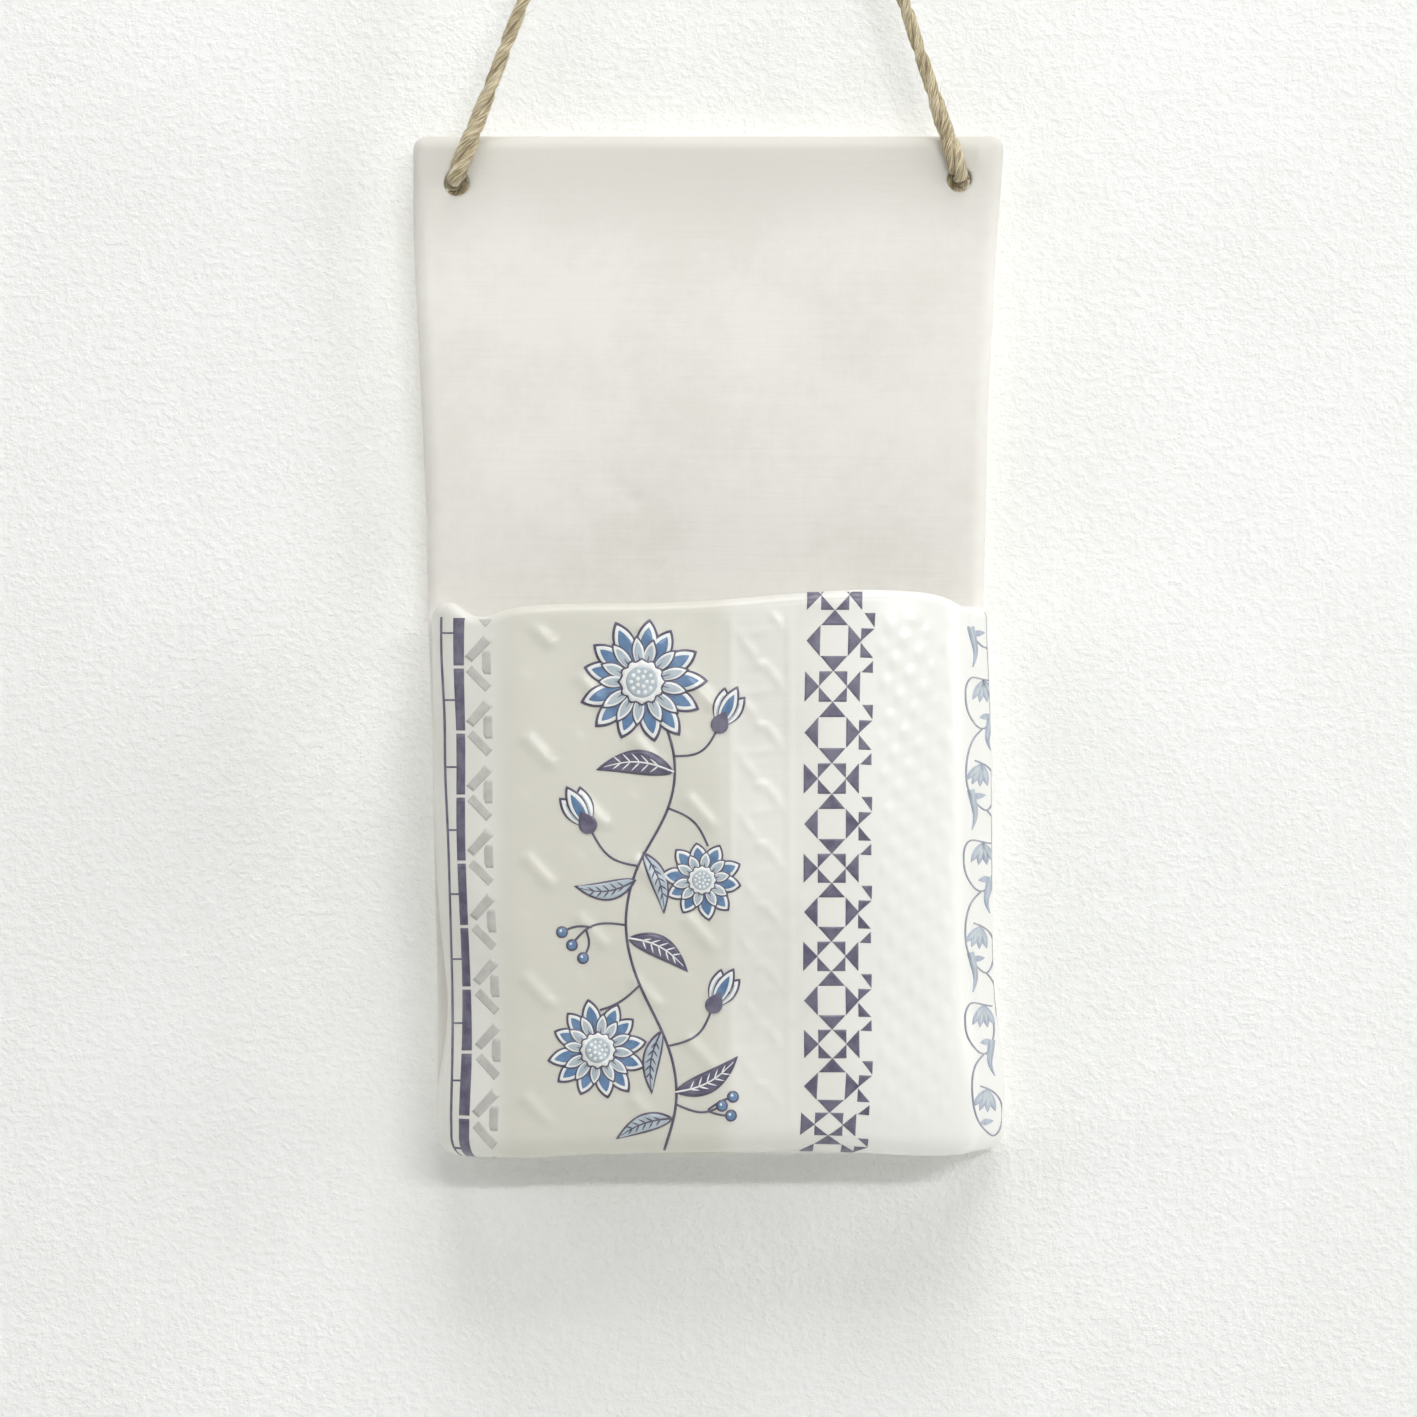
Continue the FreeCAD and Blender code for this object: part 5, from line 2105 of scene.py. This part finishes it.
@dataclass(frozen=True)
class FlowerSpray:
    """Plain garden spray: open round flowers, buds, berries and almond leaves on a curved stem."""

    stem: Table = (
        (664, 1150), (676, 1104), (668, 1046), (640, 985), (626, 925), (640, 862), (668, 808),
        (674, 756), (654, 700),
    )
    twigs: tuple[Table, ...] = (
        ((639, 866), (612, 858), (590, 828)), ((674, 756), (700, 752), (718, 728)),
        ((626, 925), (592, 926), (572, 944)), ((668, 808), (694, 822), (708, 846)),
        ((668, 1046), (698, 1034), (712, 1008)), ((676, 1104), (706, 1112), (722, 1106)),
        ((640, 985), (616, 1004), (600, 1010)), ((592, 927), (574, 927), (562, 932)),
        ((586, 929), (589, 944), (583, 958)), ((708, 1110), (722, 1101), (733, 1097)),
        ((708, 1111), (720, 1115), (731, 1116)),
    )
    # Middle, radius, petals and turn
    flowers: tuple[tuple[Place, float, int, float], ...] = (
        ((642, 682), 63.0, 13, 0.2), ((702, 880), 40.0, 10, 0.5), ((598, 1050), 50.0, 12, 0.1),
    )
    # Base, tip, width, bow and whether it is dark
    leaves: tuple[tuple[Place, Place, float, float, bool], ...] = (
        ((674, 772), (596, 770), 25.0, 9.0, True), ((643, 852), (664, 914), 18.0, -6.0, False),
        ((636, 880), (574, 886), 20.0, -8.0, False), ((628, 938), (688, 972), 23.0, -8.0, True),
        ((662, 1030), (652, 1094), 18.0, 6.0, False),
        ((675, 1092), (738, 1056), 22.0, 8.0, True),
        ((673, 1118), (616, 1138), 19.0, 5.0, False),
    )
    # Base, tip and width
    buds: tuple[tuple[Place, Place, float], ...] = (
        ((590, 828), (566, 786), 28.0), ((718, 728), (738, 686), 27.0),
        ((712, 1008), (734, 968), 26.0),
    )
    berries: Table = (
        (572, 945), (562, 932), (583, 958), (722, 1106), (733, 1097), (731, 1116),
    )

    def flower(self, work: Paintwork, centre: Place, size: float, petals: int, turn: float) -> None:
        """Lay an open flower: two rings of pointed petals round a scalloped eye with dots.

        Args:
            work: the films are laid there.
            centre: the flower's middle on the sheet.
            size: its radius.
            petals: number of petals in a ring.
            turn: angle of the first petal.
        """
        middle = np.array(centre)
        count = np.arange(petals)
        for ring, (reach, wide, shift) in enumerate(((1.0, 2.35, 0.5), (0.74, 1.9, 0.0))):
            angle = turn + FULL_TURN * (count + shift) / petals + 0.05 * np.sin(count * 2.3 + size)
            length = size * reach * (1.0 + 0.05 * np.sin(count * 1.7 + turn))[:, None]
            way = np.stack([np.cos(angle), np.sin(angle)], axis=1)
            width = wide * size * reach * math.pi / petals * 0.62
            lift = 0.11 + 0.10 * ring
            for paint, start, end, share, rise in (
                (Paint.LINE, 0.12, 1.0, 1.0, 0.0),
                (Paint.PALE, 0.14, 0.94, 0.84, 0.03),
                (Paint.MIST if ring else Paint.BLUE, 0.16, 0.86, 0.58, 0.06),
            ):
                near, far = middle + way * size * start, middle + way * length * end
                work.lay(paint, blades(near, far, width * share, full=1.35), lift + rise)
            near, far = middle + way * size * 0.16, middle + way * length * 0.62
            vein = blades(near, far, 1.5, steps=(13, 3))
            work.lay(Paint.LINE if ring else Paint.SLATE, vein, lift + 0.08)
        work.lay(Paint.LINE, star_discs([middle], size * 0.36, 12, 0.07), 0.32)
        work.lay(Paint.PALE, star_discs([middle], size * 0.33, 12, 0.07), 0.35)
        work.lay(Paint.MIST, star_discs([middle], size * 0.25), 0.38)
        for ring, number in ((0.17, 10), (0.08, 5)):
            angle = FULL_TURN * np.arange(number) / number
            dots = middle + size * ring * np.stack([np.cos(angle), np.sin(angle)], axis=1)
            work.lay(Paint.PALE, star_discs(dots, size * 0.032, steps=5), 0.41)

    def leaf(
        self, work: Paintwork, base: Place, tip: Place, wide: float, bend: float, dark: bool
    ) -> None:
        """Lay a leaf with a midrib and slanting side veins.

        Args:
            work: the films are laid there.
            base: where the leaf starts on the sheet.
            tip: where it ends.
            wide: its full width.
            bend: how far its middle bows.
            dark: a dark leaf with pale veins, instead of a pale one with dark veins.
        """
        start, end = np.array(base), np.array(tip)
        run = end - start
        inner, vein = (Paint.SLATE, Paint.PALE) if dark else (Paint.MIST, Paint.LINE)
        work.lay(Paint.LINE, blades([start], [end], wide, bend), 0.11)
        inside = blades([start + run * 0.05], [start + run * 0.95], wide - 3.6, bend)
        work.lay(inner, inside, 0.14)
        side = np.array([-run[1], run[0]]) / np.linalg.norm(run)
        share = np.r_[np.linspace(0.0, 0.9, 4), np.linspace(0.2, 0.68, 5)][:, None]
        middle = start + run * share + side * bend * 4.0 * share * (1.0 - share)
        work.lay(vein, stroke(middle[:4], 1.8, 24, 0.6), 0.17)
        foot = middle[4:]
        reach = side * (wide / 2.0 - 3.4) * np.sin(math.pi * share[4:] ** 0.8)
        for way in (reach, -reach):
            work.lay(vein, blades(foot, foot + way + run * 0.11, 1.5, steps=(9, 3)), 0.17)

    def bud(self, work: Paintwork, base: Place, tip: Place, wide: float) -> None:
        """Lay a closed bud of three petals in a dark cup.

        Args:
            work: the films are laid there.
            base: where the bud starts on the sheet.
            tip: where it ends.
            wide: its full width.
        """
        start, end = np.array(base), np.array(tip)
        run = end - start
        side = np.array([-run[1], run[0]]) / np.linalg.norm(run)
        spread = np.array([-0.42, 0.42, 0.0])[:, None]
        tips = start + run * np.array([0.86, 0.86, 1.0])[:, None] + side * wide * spread
        for part, heart, lift in ((tips[:2], Paint.MIST, 0.11), (tips[2:], Paint.BLUE, 0.17)):
            starts = np.repeat(start[None], len(part), 0)
            for paint, share, width, rise in (
                (Paint.LINE, 1.0, wide * 0.66, 0.0),
                (Paint.PALE, 0.92, wide * 0.66 - 3.2, 0.03),
                (heart, 0.8, wide * 0.34, 0.045),
            ):
                petals = blades(starts, start + (part - start) * share, width, full=1.1)
                work.lay(paint, petals, lift + rise)
        cup = blades([start - run * 0.12], [start + run * 0.40], wide * 0.66, full=0.7)
        work.lay(Paint.SLATE, cup, 0.24)

    def paint(self, work: Paintwork) -> None:
        """Lay the stem and everything on it.

        Args:
            work: the films are laid there.
        """
        work.lay(Paint.LINE, stroke(self.stem, 2.6, 170), 0.09)
        for twig in self.twigs:
            work.lay(Paint.LINE, stroke(twig, 2.1, 30), 0.09)
        for flower in self.flowers:
            self.flower(work, *flower)
        for base, tip, wide, bend, dark in self.leaves:
            self.leaf(work, base, tip, wide, bend, dark)
        for bud in self.buds:
            self.bud(work, *bud)
        berries = np.array(self.berries)
        work.lay(Paint.LINE, star_discs(berries, 6.0, steps=7), 0.11)
        work.lay(Paint.BLUE, star_discs(berries, 4.4, steps=7), 0.14)
        work.lay(Paint.PALE, star_discs(berries + (-1.2, -1.4), 1.3, steps=5), 0.17)


# The studio


@dataclass(frozen=True)
class Lamp:
    """A soft square or oblong lamp that is turned to the vase, with sizes in metres."""

    name: str
    place: tuple[float, float, float]
    wide: float
    high: float
    power: float
    spread: float = 180.0
    aim: tuple[float, float, float] = (0.0, 0.0, -0.2)

    def hang(self) -> None:
        """Make the lamp and link it to the scene."""
        data = bpy.data.lights.new(self.name, "AREA")
        data.shape = "RECTANGLE"
        data.size = self.wide
        data.size_y = self.high
        data.energy = self.power
        data.spread = math.radians(self.spread)
        lamp = bpy.data.objects.new(self.name, data)
        lamp.location = self.place
        way = Vector(self.aim) - Vector(self.place)
        lamp.rotation_euler = way.to_track_quat("-Z", "Y").to_euler()
        bpy.context.scene.collection.objects.link(lamp)


@dataclass
class Studio:
    """Pale wall and floor in one sweep, with plain soft lamps and an even sky, in metres."""

    wide: float = 3.0
    floor_z: float = -0.95
    top_z: float = 1.1
    reach: float = 2.6
    bend: float = 0.25
    steps_across: int = 16
    steps_flat: int = 12
    steps_bend: int = 13
    sky: tuple[float, float, float, float] = (1.0, 1.0, 0.99, 1.0)
    sky_light: float = 0.02
    sky_seen: float = 0.84
    lamps: tuple[Lamp, ...] = (
        Lamp("top_window", (0.139, -0.788, 1.186), 1.0, 1.0, 15.9),
        Lamp("side_window", (1.405, -0.456, 0.060), 0.9, 0.9, 9.9),
        Lamp("strip_lamp", (0.360, -1.530, 0.160), 0.6, 0.05, 6.4),
        Lamp("room_bounce", (-1.152, -0.966, 0.347), 1.2, 1.2, 7.5),
        Lamp("back_lamp", (0.100, 0.900, -0.100), 0.5, 0.5, 0.8, 60.0),
    )

    def build(self, material: Material) -> Object:
        """Build the sweep: down the wall, round a quarter circle and out along the floor.

        Args:
            material: the plaster.

        Returns:
            The sweep.
        """
        flat, bend = self.steps_flat, self.bend
        angle = np.linspace(0.0, QUARTER_TURN, self.steps_bend)[1:-1]
        wall = np.linspace(self.top_z, self.floor_z + bend, flat)
        floor = np.linspace(-bend, -self.reach, flat)
        up = np.r_[wall, self.floor_z + bend * (1.0 - np.sin(angle)), np.full(flat, self.floor_z)]
        out = np.r_[np.zeros(flat), -bend * (1.0 - np.cos(angle)), floor]
        across = np.linspace(-self.wide / 2, self.wide / 2, self.steps_across)[:, None]
        points = np.stack(np.broadcast_arrays(across, out[None, :], up[None, :]), axis=-1)
        stock = Stock()
        stock.add(points, grid_faces(self.steps_across, len(up)))
        sweep = stock.piece("studio_sweep")
        sweep.data.materials.append(material)
        log.info("studio_sweep: %d faces", len(sweep.data.polygons))
        return sweep

    def light(self) -> None:
        """Hang the lamps and set the sky, which is paler where the camera sees it."""
        world = bpy.data.worlds.new("sky")
        bpy.context.scene.world = world
        world.use_nodes = True
        background = world.node_tree.nodes["Background"]
        background.inputs["Color"].default_value = self.sky
        nodes = Nodes(world.node_tree)
        seen = nodes.add("ShaderNodeLightPath").outputs["Is Camera Ray"]
        strength = nodes.between(seen, 0.0, 1.0, self.sky_light, self.sky_seen)
        nodes.feed(background.inputs["Strength"], strength)
        for lamp in self.lamps:
            lamp.hang()


def make_prints(mottle: NodeTree) -> dict[Paint, Material]:
    """Make the material of every printed colour.

    Args:
        mottle: the group for uneven colour.

    Returns:
        The materials by colour.
    """
    tones = {
        Paint.SLATE: ((0.34, 0.32, 0.41), (0.44, 0.43, 0.50)),
        Paint.STONE: ((0.73, 0.72, 0.70), (0.775, 0.77, 0.745)),
        Paint.LINE: ((0.30, 0.28, 0.36), (0.38, 0.36, 0.44)),
        Paint.BLUE: ((0.34, 0.465, 0.615), (0.43, 0.55, 0.69)),
        Paint.MIST: ((0.66, 0.71, 0.745), (0.73, 0.775, 0.80)),
        Paint.PALE: ((0.90, 0.91, 0.90), (0.93, 0.935, 0.925)),
        Paint.LEAF: ((0.56, 0.60, 0.69), (0.66, 0.70, 0.77)),
        Paint.THREAD: ((0.50, 0.52, 0.59), (0.60, 0.61, 0.66)),
    }
    return {
        paint: PrintFinish(f"print_{paint.value}", pale=pale, dark=dark).material(mottle)
        for paint, (dark, pale) in tones.items()
    }


def main() -> None:
    """Build the camera, the twine, the vase, its fixing and the studio."""
    logging.basicConfig(level=logging.INFO, format="%(message)s")
    scene = bpy.context.scene
    scene.view_settings.view_transform = "Standard"
    mottle = make_mottle()
    linen = make_linen()
    ViewCamera().build()
    jute = JuteFinish("jute").material()
    HangingTwine().build(jute)
    for side in Side:
        StopperKnot(side).build(jute)
    # Painted shade: the slab's top is tinted darker, standing in for the shade that falls there.
    painted_top_shade = ToneAndLightBand("Z", -0.123, 0.1, 0.009, (0.842, 0.832, 0.800))
    bare = ClayFinish("bare_clay", bands=(painted_top_shade,)).material(mottle, linen)
    glazed = ClayFinish(
        "glazed_clay",
        pale=(0.895, 0.892, 0.864),
        dark=(0.872, 0.866, 0.836),
        roughness=0.46,
        glaze=0.4,
        marks=0.00003,
        bands=(
            # A cream tone on the pocket's left, made darker than the glaze by painted shade.
            ToneAndLightBand("X", -0.0394, -0.0003, 0.0025, (0.836, 0.828, 0.784)),
            # Painted light: the pocket's right is paler, standing in for the light that falls on
            # that side.
            ToneAndLightBand("X", 0.0200, 0.1, 0.0095, (0.936, 0.935, 0.917)),
        ),
    ).material(mottle, linen)
    zinc = GrainedFinish(
        "zinc",
        pale=(0.80, 0.81, 0.82),
        dark=(0.62, 0.63, 0.63),
        cloud_scale=500.0,
        metallic=1.0,
        grain_stretch=(0.2, 9.0, 0.2),
    ).material(mottle)
    nylon = GrainedFinish(
        "nylon",
        pale=(0.70, 0.71, 0.73),
        dark=(0.62, 0.63, 0.65),
        cloud_scale=160.0,
        grain_scale=5200.0,
        smoothest=0.42,
        roughest=0.58,
    ).material(mottle)
    BackSlab().build(bare)
    pocket = Pocket()
    pocket.build(glazed)
    pocket.build_seam(glazed)
    work = Paintwork(pocket)
    stripe = BrickStripe()
    stripe.paint(work)
    HerringboneBorder().paint(work, stripe)
    TriangleBorder().paint(work)
    ScrollBorder().paint(work)
    FlowerSpray().paint(work)
    work.build(make_prints(mottle))
    nodes = frame["nodes"]
    for node, material in (("pocket_floor", glazed), ("hanging_screw", zinc), ("wall_plug", nylon)):
        nodes[node].data.materials.clear()
        nodes[node].data.materials.append(material)
        log.info("%s: %s", node, material.name)
    studio = Studio()
    studio.build(PlasterFinish("plaster").material(mottle))
    studio.light()


if __name__ == "__main__":
    main()
